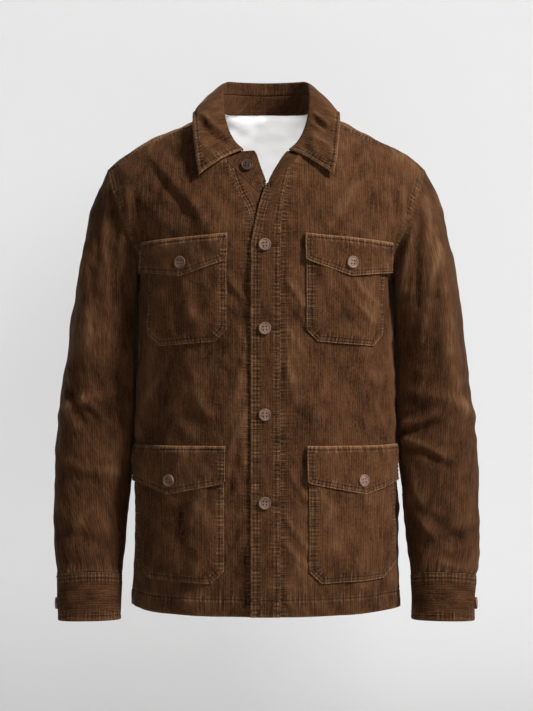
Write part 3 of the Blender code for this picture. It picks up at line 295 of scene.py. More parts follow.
class Shading:
    """A Principled material and the nodes that feed it."""

    def __init__(self, name: str) -> None:
        """Starts the material.

        Args:
            name: the material's name.
        """
        self.material = bpy.data.materials.new(name)
        self.material.use_nodes = True
        self.tree = self.material.node_tree
        self.shader = self.tree.nodes["Principled BSDF"]

    def node(self, kind: str, **settings: object) -> bpy.types.Node:
        """A new node with its settings."""
        made = self.tree.nodes.new("ShaderNode" + kind)
        for name, value in settings.items():
            setattr(made, name, value)
        return made

    def put(self, node: bpy.types.Node, key: str | int, value: object) -> None:
        """Links a socket to an input, or sets the input's value."""
        if isinstance(value, bpy.types.NodeSocket):
            self.tree.links.new(value, node.inputs[key])
        else:
            node.inputs[key].default_value = value

    def maths(self, operation: str, *values: object, clamp: bool = False) -> bpy.types.NodeSocket:
        """Result of a Math node."""
        made = self.node("Math", operation=operation, use_clamp=clamp)
        for i, value in enumerate(values):
            self.put(made, i, value)
        return made.outputs[0]

    def mix(self, share: object, low: object, high: object, blend: str = "MIX") -> bpy.types.NodeSocket:
        """Colour between two colours."""
        made = self.node("Mix", data_type="RGBA", blend_type=blend)
        self.put(made, 0, share)
        for key, value in ((6, low), (7, high)):
            self.put(made, key, (*value, 1) if isinstance(value, tuple) else value)
        return made.outputs[2]

    def stretched(self, across: object, along: object, scale: tuple[float, float]) -> bpy.types.NodeSocket:
        """A vector from places across and along the wales, each scaled."""
        made = self.node("CombineXYZ")
        self.put(made, 0, self.maths("MULTIPLY", across, scale[0]))
        self.put(made, 1, self.maths("MULTIPLY", along, scale[1]))
        return made.outputs[0]

    def noise(self, vector: object, scale: float, detail: float = 2.0) -> bpy.types.NodeSocket:
        """Value of a noise from 0 to 1."""
        made = self.node("TexNoise")
        self.put(made, "Vector", vector)
        self.put(made, "Scale", scale)
        self.put(made, "Detail", detail)
        return made.outputs[0]

    def spread(self, value: object, low: float, high: float,
               to: tuple[float, float] = (0.0, 1.0)) -> bpy.types.NodeSocket:
        """A value taken from the range low to high onto another range, clamped."""
        made = self.node("MapRange")
        for key, number in enumerate((value, low, high, *to)):
            self.put(made, key, number)
        return made.outputs[0]

    def dress(self, colour: object, normal: object, roughness: float, gloss: float) -> bpy.types.Material:
        """Sets the shader's main sockets and returns the material."""
        for key, value in (("Base Color", colour), ("Normal", normal), ("Roughness", roughness),
                           ("Specular IOR Level", gloss)):
            self.put(self.shader, key, value)
        return self.material

    def tinted(self, colour: Colour, pattern: object, shades: tuple[float, float]) -> object:
        """A colour made lighter and darker by a pattern."""
        return self.mix(1.0, colour, self.spread(pattern, 0.3, 0.7, shades), "MULTIPLY")

    def attribute(self, name: str) -> bpy.types.NodeSocket:
        """A number that the piece's mesh holds at its points."""
        return self.node("Attribute", attribute_name=name).outputs["Fac"]

    def raised(self, height: object, distance: float, strength: float, under: object = None) -> object:
        """Normal of a bump laid over another."""
        made = self.node("Bump")
        for key, value in (("Height", height), ("Distance", distance), ("Strength", strength)):
            self.put(made, key, value)
        if under is not None:
            self.put(made, "Normal", under)
        return made.outputs[0]


@dataclass(frozen=True)
class Corduroy:
    """Cotton corduroy: rounded wales, darker grooves, brushed pile and edges paled by abrasion, with
    painted highlights on fold and pucker crests and painted shade in their troughs and the stitch grooves.
    """

    name: str = "brown corduroy"
    pile: Colour = (0.086, 0.0365, 0.0155)
    groove: Colour = (0.048, 0.0195, 0.0080)
    # The two pale colours serve abrasion at the edges and painted highlights on crests and ridges.
    lifted: Colour = (0.170, 0.077, 0.034)
    worn: Colour = (0.265, 0.142, 0.073)
    pitch: float = 0.0034
    wale_depth: float = 0.0003
    pucker_pitch: float = 0.0057
    pucker_depth: float = 0.0020
    dent_depth: float = 0.0024
    roughness: float = 0.9
    sheen: float = 0.10

    def material(self) -> bpy.types.Material:
        """The cloth's material, which reads the grain map and the piece's own attributes."""
        s = Shading(self.name)
        grain = s.node("SeparateXYZ")
        s.put(grain, 0, s.node("UVMap", uv_map="grain").outputs[0])
        across, along = grain.outputs[0], grain.outputs[1]
        drift = s.noise(s.stretched(across, along, (20, 9)), 1.0)
        placed = s.maths("ADD", across, s.maths("MULTIPLY", drift, 0.0016))
        turn = s.maths("MULTIPLY", placed, math.pi / self.pitch)
        wale = s.maths("POWER", s.maths("ABSOLUTE", s.maths("COSINE", turn)), 0.6)
        streaks, nap, patches, clouds, dents, clearness = (
            s.noise(s.stretched(across, along, scale), 1.0, detail) for scale, detail in (
                ((310, 34), 3.0), ((420, 240), 2.0), ((62, 30), 3.0), ((15, 9), 2.0), ((95, 75), 2.0),
                ((40, 22), 2.0)))
        wear, run, near = (s.attribute(name) for name in ("wear", "seam_run", "seam_near"))
        stray = s.node("TexNoise", noise_dimensions="1D")
        s.put(stray, "W", s.maths("MULTIPLY", run, 0.45 / self.pucker_pitch))
        phase = s.maths("ADD", s.maths("MULTIPLY", run, 2 * math.pi / self.pucker_pitch),
                        s.maths("MULTIPLY", stray.outputs[0], 11.0))
        wave = s.maths("SINE", phase)
        apart = [s.maths("ABSOLUTE", s.attribute(name)) for name in ("row_a", "row_b")]
        # Painted shade in the grooves of the stitch rows, and a painted highlight on the ridges beside
        # them.
        groove = s.maths("MAXIMUM", *(s.spread(gap, 0.0005, 0.0015, (1, 0)) for gap in apart))
        ridge = s.maths("MAXIMUM", *(s.spread(s.maths("ABSOLUTE", s.maths("SUBTRACT", gap, 0.0026)),
                                              0.0004, 0.0015, (1, 0)) for gap in apart))
        groove, ridge = s.maths("MULTIPLY", groove, near), s.maths("MULTIPLY", ridge, near)
        # Painted highlight on the pucker crests and painted shade in their troughs.
        light = s.maths("MULTIPLY", s.spread(wave, 0.1, 0.85), near)
        dark = s.maths("MULTIPLY", s.spread(wave, -0.85, -0.1, (1, 0)), near)

        # The wales show strongly in some patches and hardly in others.
        clear = s.spread(clearness, 0.32, 0.68, (0.45, 1.3))
        swing = s.maths("SUBTRACT", s.spread(wale, 0.2, 0.95), 0.6)
        shown = s.maths("ADD", 0.6, s.maths("MULTIPLY", swing, clear))
        colour = s.mix(shown, self.groove, self.pile)
        # Random tones, then painted shade: pucker troughs, stitch grooves and the negative part of the
        # attribute (fold troughs, tucked and covered cloth).
        tones = [s.spread(streaks, 0.3, 0.7, (-0.28, 0.28)), s.spread(nap, 0.25, 0.75, (-0.34, 0.34)),
                 s.spread(patches, 0.3, 0.7, (-0.26, 0.26)), s.spread(clouds, 0.3, 0.7, (-0.10, 0.10)),
                 s.maths("MULTIPLY", dark, -0.16), s.maths("MULTIPLY", groove, -0.30),
                 s.maths("MULTIPLY", s.maths("MINIMUM", wear, 0.0), 0.75)]
        tone: object = 1.0
        for change in tones:
            tone = s.maths("ADD", tone, change)
        colour = s.mix(1.0, colour, s.maths("MAXIMUM", tone, 0.15), "MULTIPLY")
        # One pale mix for abrasion at the edges and for painted highlights on fold and pucker crests and
        # beside the stitch rows.
        wear_and_highlight = s.maths("MAXIMUM", wear, 0.0)
        for share, mark in ((0.44, light), (0.26, ridge)):
            wear_and_highlight = s.maths("ADD", wear_and_highlight, s.maths("MULTIPLY", mark, share))
        wear_and_highlight = s.maths("MULTIPLY", wear_and_highlight, s.spread(streaks, 0.3, 0.7, (0.45, 1.2)))
        colour = s.mix(s.maths("MINIMUM", wear_and_highlight, 0.85), colour, s.mix(wear_and_highlight, self.lifted, self.worn))
        shape = s.raised(dents, self.dent_depth, 0.8)
        shape = s.raised(s.maths("MULTIPLY", wave, near), self.pucker_depth / 2, 0.9, shape)
        shape = s.raised(groove, -0.0007, 0.9, shape)
        shape = s.raised(wale, self.wale_depth, 0.6, shape)
        shape = s.raised(nap, 0.0008, 0.5, shape)
        s.put(s.shader, "Sheen Weight", self.sheen)
        s.put(s.shader, "Sheen Roughness", 0.35)
        s.put(s.shader, "Sheen Tint", (1.0, 0.62, 0.36, 1))
        return s.dress(colour, shape, self.roughness, 0.06)


@dataclass(frozen=True)
class ClothBack:
    """The pale, smooth back of the cloth on the body's inner side."""

    name: str = "pale cloth back"
    colour: Colour = (0.64, 0.636, 0.632)

    def material(self) -> bpy.types.Material:
        """A matt woven finish."""
        s = Shading(self.name)
        weave = s.noise(s.node("UVMap", uv_map="grain").outputs[0], 900.0, 2.0)
        return s.dress(s.tinted(self.colour, weave, (0.94, 1.03)), s.raised(weave, 0.0002, 0.4), 0.95, 0.1)


@dataclass(frozen=True)
class Thread:
    """Sewing thread with a soft twist."""

    name: str = "brown thread"
    colour: Colour = (0.105, 0.049, 0.022)

    def material(self) -> bpy.types.Material:
        """A slightly shiny twisted finish."""
        s = Shading(self.name)
        twist = s.noise(s.node("TexCoord").outputs["Object"], 1800.0, 1.0)
        return s.dress(s.tinted(self.colour, twist, (0.75, 1.25)), s.raised(twist, 0.0002, 0.5), 0.62, 0.1)


@dataclass(frozen=True)
class Horn:
    """Brown horn-like plastic with cloudy bands and a soft shine."""

    name: str = "horn plastic"
    light: Colour = (0.28, 0.175, 0.125)
    dark: Colour = (0.11, 0.060, 0.040)

    def material(self) -> bpy.types.Material:
        """A glossy clouded finish."""
        s = Shading(self.name)
        where = s.node("TexCoord").outputs["Object"]
        clouds, grain = s.noise(where, 95.0, 3.0), s.noise(where, 420.0, 3.0)
        share = s.maths("ADD", s.spread(clouds, 0.35, 0.65, (0, 0.8)), s.spread(grain, 0.3, 0.7, (0, 0.25)))
        return s.dress(s.mix(share, self.light, self.dark), s.raised(grain, 0.0001, 0.15), 0.5, 0.3)


# ---- cloth --------------------------------------------------------------------------

@dataclass(frozen=True)
class Cut:
    """Flat size that a sheet is cut to: width, length and, if not a rectangle, area."""

    width: float
    length: float
    area: float | None = None


@dataclass(frozen=True)
class Stitching:
    """Rows of stitches beside an edge or seam, and how the cloth lies round them."""

    rows: tuple[float, ...]
    sink: float
    swell: float
    pucker: float
    pitch: float
    reach: float
    rub: float
    gather: float = 1.0

    def lay(self, distance: Array, run: Array, seed: int) -> tuple[Array, Array, Array]:
        """Height, abrasion tone with painted highlight and shade, and nearness of the seam at points beside
        it.

        Args:
            distance: of the points from the edge.
            run: how far along the edge they are.
            seed: of the puckers' unevenness.

        Returns:
            Height out of the cloth, tone from -1 to 1 (pale edges from abrasion, and painted highlight and
            shade on the puckers), and nearness from 0 to 1.
        """
        first = self.rows[0] if self.rows else 0.004
        waves = ripple(run, self.pitch, seed)
        near = self.gather * np.max([np.exp(-np.maximum(np.abs(distance - row) - 0.002, 0) / self.reach)
                                     for row in self.rows or (0.0,)], axis=0)
        swell = self.swell * np.sin(math.pi * np.clip(distance / first, 0, 1)) ** 0.8
        sink = sum(bump(distance - row, 0.0012) for row in self.rows) if self.rows else 0.0
        height = swell - self.sink * sink + self.pucker * near * waves
        # Pale edges from abrasion, plus painted highlight on the pucker crests and painted shade in their
        # troughs.
        wear = self.rub * bump(distance, 0.0024) * (0.85 + 0.3 * waves) + 0.15 * near * waves
        return height, wear, near


ARMHOLE = Stitching((0.0020, 0.0085), 0.0006, 0.0006, 0.0004, 0.0062, 0.002, 0.6, 0.9)
SHOULDER = Stitching((0.0020, 0.0075), 0.0005, 0.0005, 0.0003, 0.0070, 0.004, 0.4)
SHOULDER_BACK = Stitching((), 0.0, 0.0004, 0.0004, 0.0064, 0.005, 0.3)
HEM = Stitching((0.024,), 0.0007, 0.0005, 0.0006, 0.0064, 0.006, 0.5)
SIDE_SEAM = Stitching((), 0.0, 0.0003, 0.0004, 0.0110, 0.006, 0.15)
BAND_SEAM = Stitching((), 0.0, 0.0002, 0.0005, 0.0075, 0.006, 0.25)
BAND_EDGE = Stitching((0.0045, 0.0088), 0.00045, 0.0005, 0.0006, 0.0058, 0.003, 0.8)
BAND_JOIN = Stitching((0.0018, 0.0062), 0.00045, 0.0004, 0.0006, 0.0056, 0.003, 0.8)
BAND_HEM = Stitching((0.006, 0.024), 0.0004, 0.0004, 0.0004, 0.0060, 0.004, 0.5)
SLEEVE_HEAD = Stitching((), 0.0, 0.0006, 0.0007, 0.0085, 0.007, 0.45, 0.35)
SLEEVE_END = Stitching((), 0.0, 0.0004, 0.0011, 0.0105, 0.011, 0.35, 0.7)
CUFF_TOP = Stitching((0.0022, 0.0085), 0.0005, 0.0005, 0.0007, 0.0060, 0.005, 0.6)
CUFF_HEM = Stitching((0.0070,), 0.0005, 0.0006, 0.0006, 0.0058, 0.005, 0.7)
STAND_TOP = Stitching((0.0035,), 0.0003, 0.0002, 0.0003, 0.0060, 0.004, 0.1, 0.15)
STAND_FOOT = Stitching((0.0030,), 0.0003, 0.0002, 0.0003, 0.0060, 0.004, 0.2, 0.25)
STAND_END = Stitching((0.0035,), 0.0003, 0.0003, 0.0005, 0.0056, 0.004, 0.9)
FALL_EDGE = Stitching((0.0065,), 0.0007, 0.0012, 0.0009, 0.0056, 0.0028, 0.95)
FALL_ROOT = Stitching((0.0035,), 0.0003, 0.0002, 0.0003, 0.0060, 0.004, 0.45, 0.3)
POCKET_EDGE = Stitching((0.0018, 0.0070), 0.0005, 0.0005, 0.0006, 0.0060, 0.0030, 1.1)
FLAP_SEAM = Stitching((0.0066,), 0.0011, 0.0012, 0.00045, 0.0064, 0.0025, 1.2)
FLAP_EDGE = Stitching((0.0020, 0.0070), 0.0005, 0.0006, 0.00055, 0.0060, 0.0028, 1.1)

# Places of the rows beside a rim, how far a rim is rounded in, and the width of a seam's inner margin.
RIM = (0.0004, 0.0010, 0.0020, 0.0035)
TUCK_REACH = 0.0011
SEAM_EDGE = 0.006


@dataclass
class Cloth:
    """One sheet of cloth as a grid, which becomes a closed wall with rounded rims."""

    name: str
    base: Array
    normals: Array
    thickness: float
    grain: Array
    cut: Cut
    lay: Lay = Lay.HUNG
    rests_on: tuple[str, ...] = ()
    closed: bool = False
    slot: Slot = Slot.CORDUROY
    relief: Array = field(init=False)
    wear: Array = field(init=False)
    seam_run: Array = field(init=False)
    seam_near: Array = field(init=False)
    row_gaps: Array = field(init=False)
    sewn: list[tuple[Array, Array, float]] = field(default_factory=list)

    def __post_init__(self) -> None:
        """Starts flat and unworn."""
        shape = self.base.shape[:2]
        self.relief, self.wear, self.seam_run, self.seam_near = (np.zeros(shape) for _ in range(4))
        self.row_gaps = np.ones((2, *shape))

    def edge(self, name: str) -> Array:
        """The grid's low, high, first or last edge, as points."""
        return {"low": self.base[0], "high": self.base[-1],
                "first": self.base[:, 0], "last": self.base[:, -1]}[name]

    def sew(self, line: Array, stitching: Stitching, seed: int, weight: Array | float = 1.0) -> None:
        """Lays stitching along a line on the cloth, where weight is above 0."""
        distance, run = nearest(line, self.base)
        height, wear, near = stitching.lay(distance, run, seed)
        self.relief += weight * height
        self.wear += weight * wear
        stronger = near * weight > self.seam_near
        self.seam_run = np.where(stronger, run + seed, self.seam_run)
        self.seam_near = np.where(stronger, near * weight, self.seam_near)
        for gaps, row in zip(self.row_gaps, (*stitching.rows, 1.0, 1.0)):
            gaps[stronger] = distance[stronger] - row
        hidden = np.where(np.broadcast_to(weight, distance.shape) > 0.5, 0.0, 1.0)
        self.sewn += [(distance + hidden, run, row) for row in stitching.rows]

    def fold(self, height: Array) -> None:
        """Raises the cloth by a height, with painted highlight on the crests and painted shade in the
        troughs.
        """
        self.relief += height
        self.wear += np.clip(height / 0.009, -0.25, 0.40)

    def rim_distance(self) -> Array:
        """Distance of each point from the nearest rim."""
        names = ("low", "high") if self.closed else ("low", "high", "first", "last")
        found = []
        for name in names:
            line = self.edge(name)
            if self.closed:
                line = np.vstack([line, line[:1]])
            found.append(nearest(line, self.base, 0.002)[0])
        distance = np.minimum.reduce(found)
        distance[[0, -1]] = 0
        if not self.closed:
            distance[:, [0, -1]] = 0
        return distance

    def faces_out(self) -> tuple[Array, Array]:
        """Outer and inner points of the wall."""
        rim = np.clip(self.rim_distance() / TUCK_REACH, 0, 1)
        tuck = self.thickness * 0.42 * (1 - np.sqrt(1 - (1 - rim) ** 2))
        outer = self.base + self.normals * (self.relief - tuck)[..., None]
        inner = self.base + self.normals * (self.relief - self.thickness + tuck)[..., None]
        return outer, inner

    def build(self, outside: bpy.types.Material, inside: bpy.types.Material,
              thread: bpy.types.Material) -> bpy.types.Object:
        """The wall and its stitches as pieces that stand for the CAD node.

        Args:
            outside: finish of the outer face and the rims.
            inside: finish of the inner face.
            thread: finish of the stitches.

        Returns:
            The wall's object.
        """
        outer, inner = self.faces_out()
        count = self.relief.size
        number = np.arange(count).reshape(self.relief.shape)
        if self.closed:
            number = np.hstack([number, number[:, :1]])
        place = np.stack(np.indices(number.shape), axis=-1)
        quads, corners = cells(number), cells(place)
        walls, places = [quads, quads[:, ::-1] + count], [corners, corners[:, ::-1]]
        rims = [(number[0], place[0], 1), (number[-1], place[-1], -1)]
        if not self.closed:
            rims += [(number[:, 0], place[:, 0], -1), (number[:, -1], place[:, -1], 1)]
        for line, spot, order in rims:
            walls.append(cells(np.stack([line, line + count], axis=1))[:, ::order])
            places.append(cells(np.stack([spot, spot], axis=1))[:, ::order])
        faces, spots = np.vstack(walls), np.vstack(places)
        kind = np.zeros(len(faces), int)
        # The seams' edges show their own cloth on the inner side too.
        across = self.grain[..., 0]
        inward = np.minimum(np.abs(across - across[:, :1]), np.abs(across - across[:, -1:]))
        covered = np.min(inward[corners[..., 0], corners[..., 1]], axis=1) > SEAM_EDGE
        kind[len(quads):2 * len(quads)] = covered
        points = np.vstack([outer.reshape(-1, 3), inner.reshape(-1, 3)])
        a, b, c, d = (points[faces[:, n]] for n in range(4))
        if np.sum(np.cross(b - a, c - a) * a) + np.sum(np.cross(c - a, d - a) * a) < 0:
            faces, spots = faces[:, ::-1], spots[:, ::-1]
        item = add_mesh(self.name + "_cloth", points, faces, (outside, inside), kind)
        grain = self.grain[spots[..., 0].ravel(), spots[..., 1].ravel()]
        layer = item.data.uv_layers.new(name="grain")
        layer.data.foreach_set("uv", grain.astype(np.float32).ravel())
        for name, values in (("wear", np.clip(self.wear, -1, 1)), ("seam_run", self.seam_run),
                             ("seam_near", np.clip(self.seam_near, 0, 1)),
                             ("row_a", self.row_gaps[0]), ("row_b", self.row_gaps[1])):
            doubled = np.concatenate([values.ravel(), values.ravel()]).astype(np.float32)
            item.data.attributes.new(name, "FLOAT", "POINT").data.foreach_set("value", doubled)
        threads = self.sew_threads(outer, thread)
        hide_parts(self.name)
        finish_piece(item)
        log.info("%s: %d points, %d thread pieces", self.name, len(points), len(threads))
        return item

    def sew_threads(self, outer: Array, thread: bpy.types.Material) -> list[bpy.types.Object]:
        """Stitches along every sewn row, as one piece."""
        centres, runs, ups = [], [], []
        for distance, run, row in self.sewn:
            line = contour(distance, run, row, outer, self.normals, self.closed)
            if line is None:
                continue
            centres.append(line[0])
            runs.append(line[1])
            ups.append(line[2])
        if not centres:
            return []
        item = Stitch().repeat(self.name + "_stitches", np.vstack(centres), np.vstack(runs), np.vstack(ups),
                               thread)
        finish_piece(item)
        return [item]


def contour(distance: Array, run: Array, row: float, outer: Array, normals: Array,
            closed: bool) -> tuple[Array, Array, Array] | None:
    """Stitch places along the line where the distance equals the row's.

    Args:
        distance: of every grid point from the sewn edge.
        run: of every grid point along that edge.
        row: distance of the stitches from the edge.
        outer: points of the outer face.
        normals: outward normals there.
        closed: whether the grid's last column meets its first.

    Returns:
        Middles, directions and outward normals of the stitches, or None if there are none.
    """
    found = []
    fields = np.concatenate([outer, normals, run[..., None], distance[..., None]], axis=-1)
    pairs = [(fields[1:], fields[:-1]), (fields[:, 1:], fields[:, :-1])]
    if closed:
        pairs.append((fields[:, :1], fields[:, -1:]))
    for a, b in pairs:
        a, b = a.reshape(-1, 8), b.reshape(-1, 8)
        crossing = ((a[:, 7] - row) * (b[:, 7] - row) < 0) & (np.abs(a[:, 6] - b[:, 6]) < 0.02)
        a, b = a[crossing], b[crossing]
        share = ((row - a[:, 7]) / (b[:, 7] - a[:, 7]))[:, None]
        found.append(a + (b - a) * share)
    found = np.vstack(found)
    if len(found) < 4:
        return None
    found = found[np.argsort(found[:, 6])]
    keep = np.concatenate([[True], np.diff(found[:, 6]) > 1e-5])
    found = found[keep]
    marks = np.arange(found[0, 6] + Stitch.spacing, found[-1, 6] - Stitch.spacing, Stitch.spacing)
    if len(marks) < 2:
        return None
    near = np.min(np.abs(marks[:, None] - found[:, 6]), axis=1) < 0.0045
    marks = marks[near]
    if len(marks) < 2:
        return None
    middle, ahead, behind = (
        np.stack([np.interp(marks + s, found[:, 6], found[:, k]) for k in range(6)], -1)
        for s in (0.0, 0.0012, -0.0012))
    along = ahead[:, :3] - behind[:, :3]
    length = np.linalg.norm(along, axis=1)
    fine = (length > 0.0008) & (length < 0.005)
    return middle[fine, :3], unit(along[fine]), unit(middle[fine, 3:])


def add_mesh(name: str, points: Array, faces: Array, materials: Sequence[bpy.types.Material],
             kind: Array | None = None) -> bpy.types.Object:
    """A smooth object from points and faces of equal size.

    Args:
        name: the object's name.
        points: vertices.
        faces: vertex numbers, faces x corners.
        materials: finishes of the faces.
        kind: material number of each face.

    Returns:
        The object, linked to the scene.
    """
    mesh = bpy.data.meshes.new(name)
    mesh.vertices.add(len(points))
    mesh.vertices.foreach_set("co", points.astype(np.float32).ravel())
    mesh.loops.add(faces.size)
    mesh.loops.foreach_set("vertex_index", faces.astype(np.int32).ravel())
    mesh.polygons.add(len(faces))
    mesh.polygons.foreach_set("loop_start", np.arange(0, faces.size, faces.shape[1], dtype=np.int32))
    for material in materials:
        mesh.materials.append(material)
    if kind is not None:
        mesh.polygons.foreach_set("material_index", kind.astype(np.int32))
    mesh.update(calc_edges=True)
    mesh.shade_smooth()
    item = bpy.data.objects.new(name, mesh)
    bpy.context.scene.collection.objects.link(item)
    return item


def finish_piece(item: bpy.types.Object) -> None:
    """Gives a piece its body."""
    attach(item, "root")


# ---- small pieces modelled once and repeated ----------------------------------------

def start_primitive(add: Callable[..., object], **sizes: object) -> bpy.types.Object:
    """Adds a primitive with nothing else selected and returns its object."""
    bpy.ops.object.select_all(action="DESELECT")
    add(**sizes)
    return bpy.context.object


@contextmanager
def editing() -> Iterator[None]:
    """Edit mode on the active object, for the time of a block."""
    bpy.ops.object.mode_set(mode="EDIT")
    yield
    bpy.ops.object.mode_set(mode="OBJECT")


def resize_all(size: tuple[float, float, float]) -> None:
    """In edit mode, scales the whole mesh."""
    bpy.ops.mesh.select_all(action="SELECT")
    bpy.ops.transform.resize(value=size)


def join(item: bpy.types.Object, parts: Sequence[bpy.types.Object],
         materials: tuple[bpy.types.Material, bpy.types.Material],
         smooth_degrees: float) -> bpy.types.Object:
    """Joins parts to an item; it has the first finish and they have the second.

    Args:
        item: the object that they join.
        parts: objects that are joined to it and go.
        materials: both finishes.
        smooth_degrees: edges sharper than this stay sharp.

    Returns:
        The item.
    """
    for thing in (item, *parts):
        thing.data.materials.clear()
        for material in materials:
            thing.data.materials.append(material)
    bpy.ops.object.select_all(action="DESELECT")
    for part in parts:
        part.data.transform(part.matrix_basis)
        part.matrix_basis.identity()
        for face in part.data.polygons:
            face.material_index = 1
    for thing in (*parts, item):
        thing.select_set(True)
    bpy.context.view_layer.objects.active = item
    bpy.ops.object.join()
    bpy.ops.object.shade_smooth_by_angle(angle=math.radians(smooth_degrees))
    return item


def mesh_data(item: bpy.types.Object) -> tuple[Array, list[tuple[int, ...]]]:
    """Points and faces of an object's mesh."""
    points = np.empty(len(item.data.vertices) * 3, np.float32)
    item.data.vertices.foreach_get("co", points)
    return points.reshape(-1, 3).astype(float), [tuple(face.vertices) for face in item.data.polygons]


@dataclass(frozen=True)
class Stitch:
    """One stitch of thread: a short bead that lies on the cloth."""

    length: float = 0.0024
    width: float = 0.00062
    spacing = 0.0031

    def repeat(self, name: str, centres: Array, along: Array, up: Array,
               material: bpy.types.Material) -> bpy.types.Object:
        """Copies the stitch to every place.

        Args:
            name: the piece's name.
            centres: places on the cloth.
            along: directions of the thread.
            up: outward normals.
            material: the thread's finish.

        Returns:
            The piece.
        """
        bead = start_primitive(bpy.ops.mesh.primitive_uv_sphere_add, segments=4, ring_count=4, radius=0.5)
        with editing():
            resize_all((self.width, self.width, self.length))
            bpy.ops.mesh.quads_convert_to_tris()
        points, faces = mesh_data(bead)
        bpy.data.objects.remove(bead, do_unlink=True)
        sideways = unit(np.cross(along, up))
        up = np.cross(sideways, along)
        lifted = centres + up * self.width * 0.18
        placed = (lifted[:, None] + points[None, :, 0:1] * sideways[:, None]
                  + points[None, :, 1:2] * up[:, None] + points[None, :, 2:3] * along[:, None])
        numbers = np.array(faces)[None] + np.arange(len(centres))[:, None, None] * len(points)
        numbers = numbers.reshape(-1, 3)
        flat = placed.reshape(-1, 3)
        a, b, c = (flat[numbers[:, n]] for n in range(3))
        middle = np.repeat(lifted, len(faces), axis=0)
        if np.sum(np.cross(b - a, c - a) * (a - middle)) < 0:
            numbers = numbers[:, ::-1]
        return add_mesh(name, flat, numbers, (material,))


# ---- body ---------------------------------------------------------------------------

Rows = tuple[tuple[float, ...], ...]


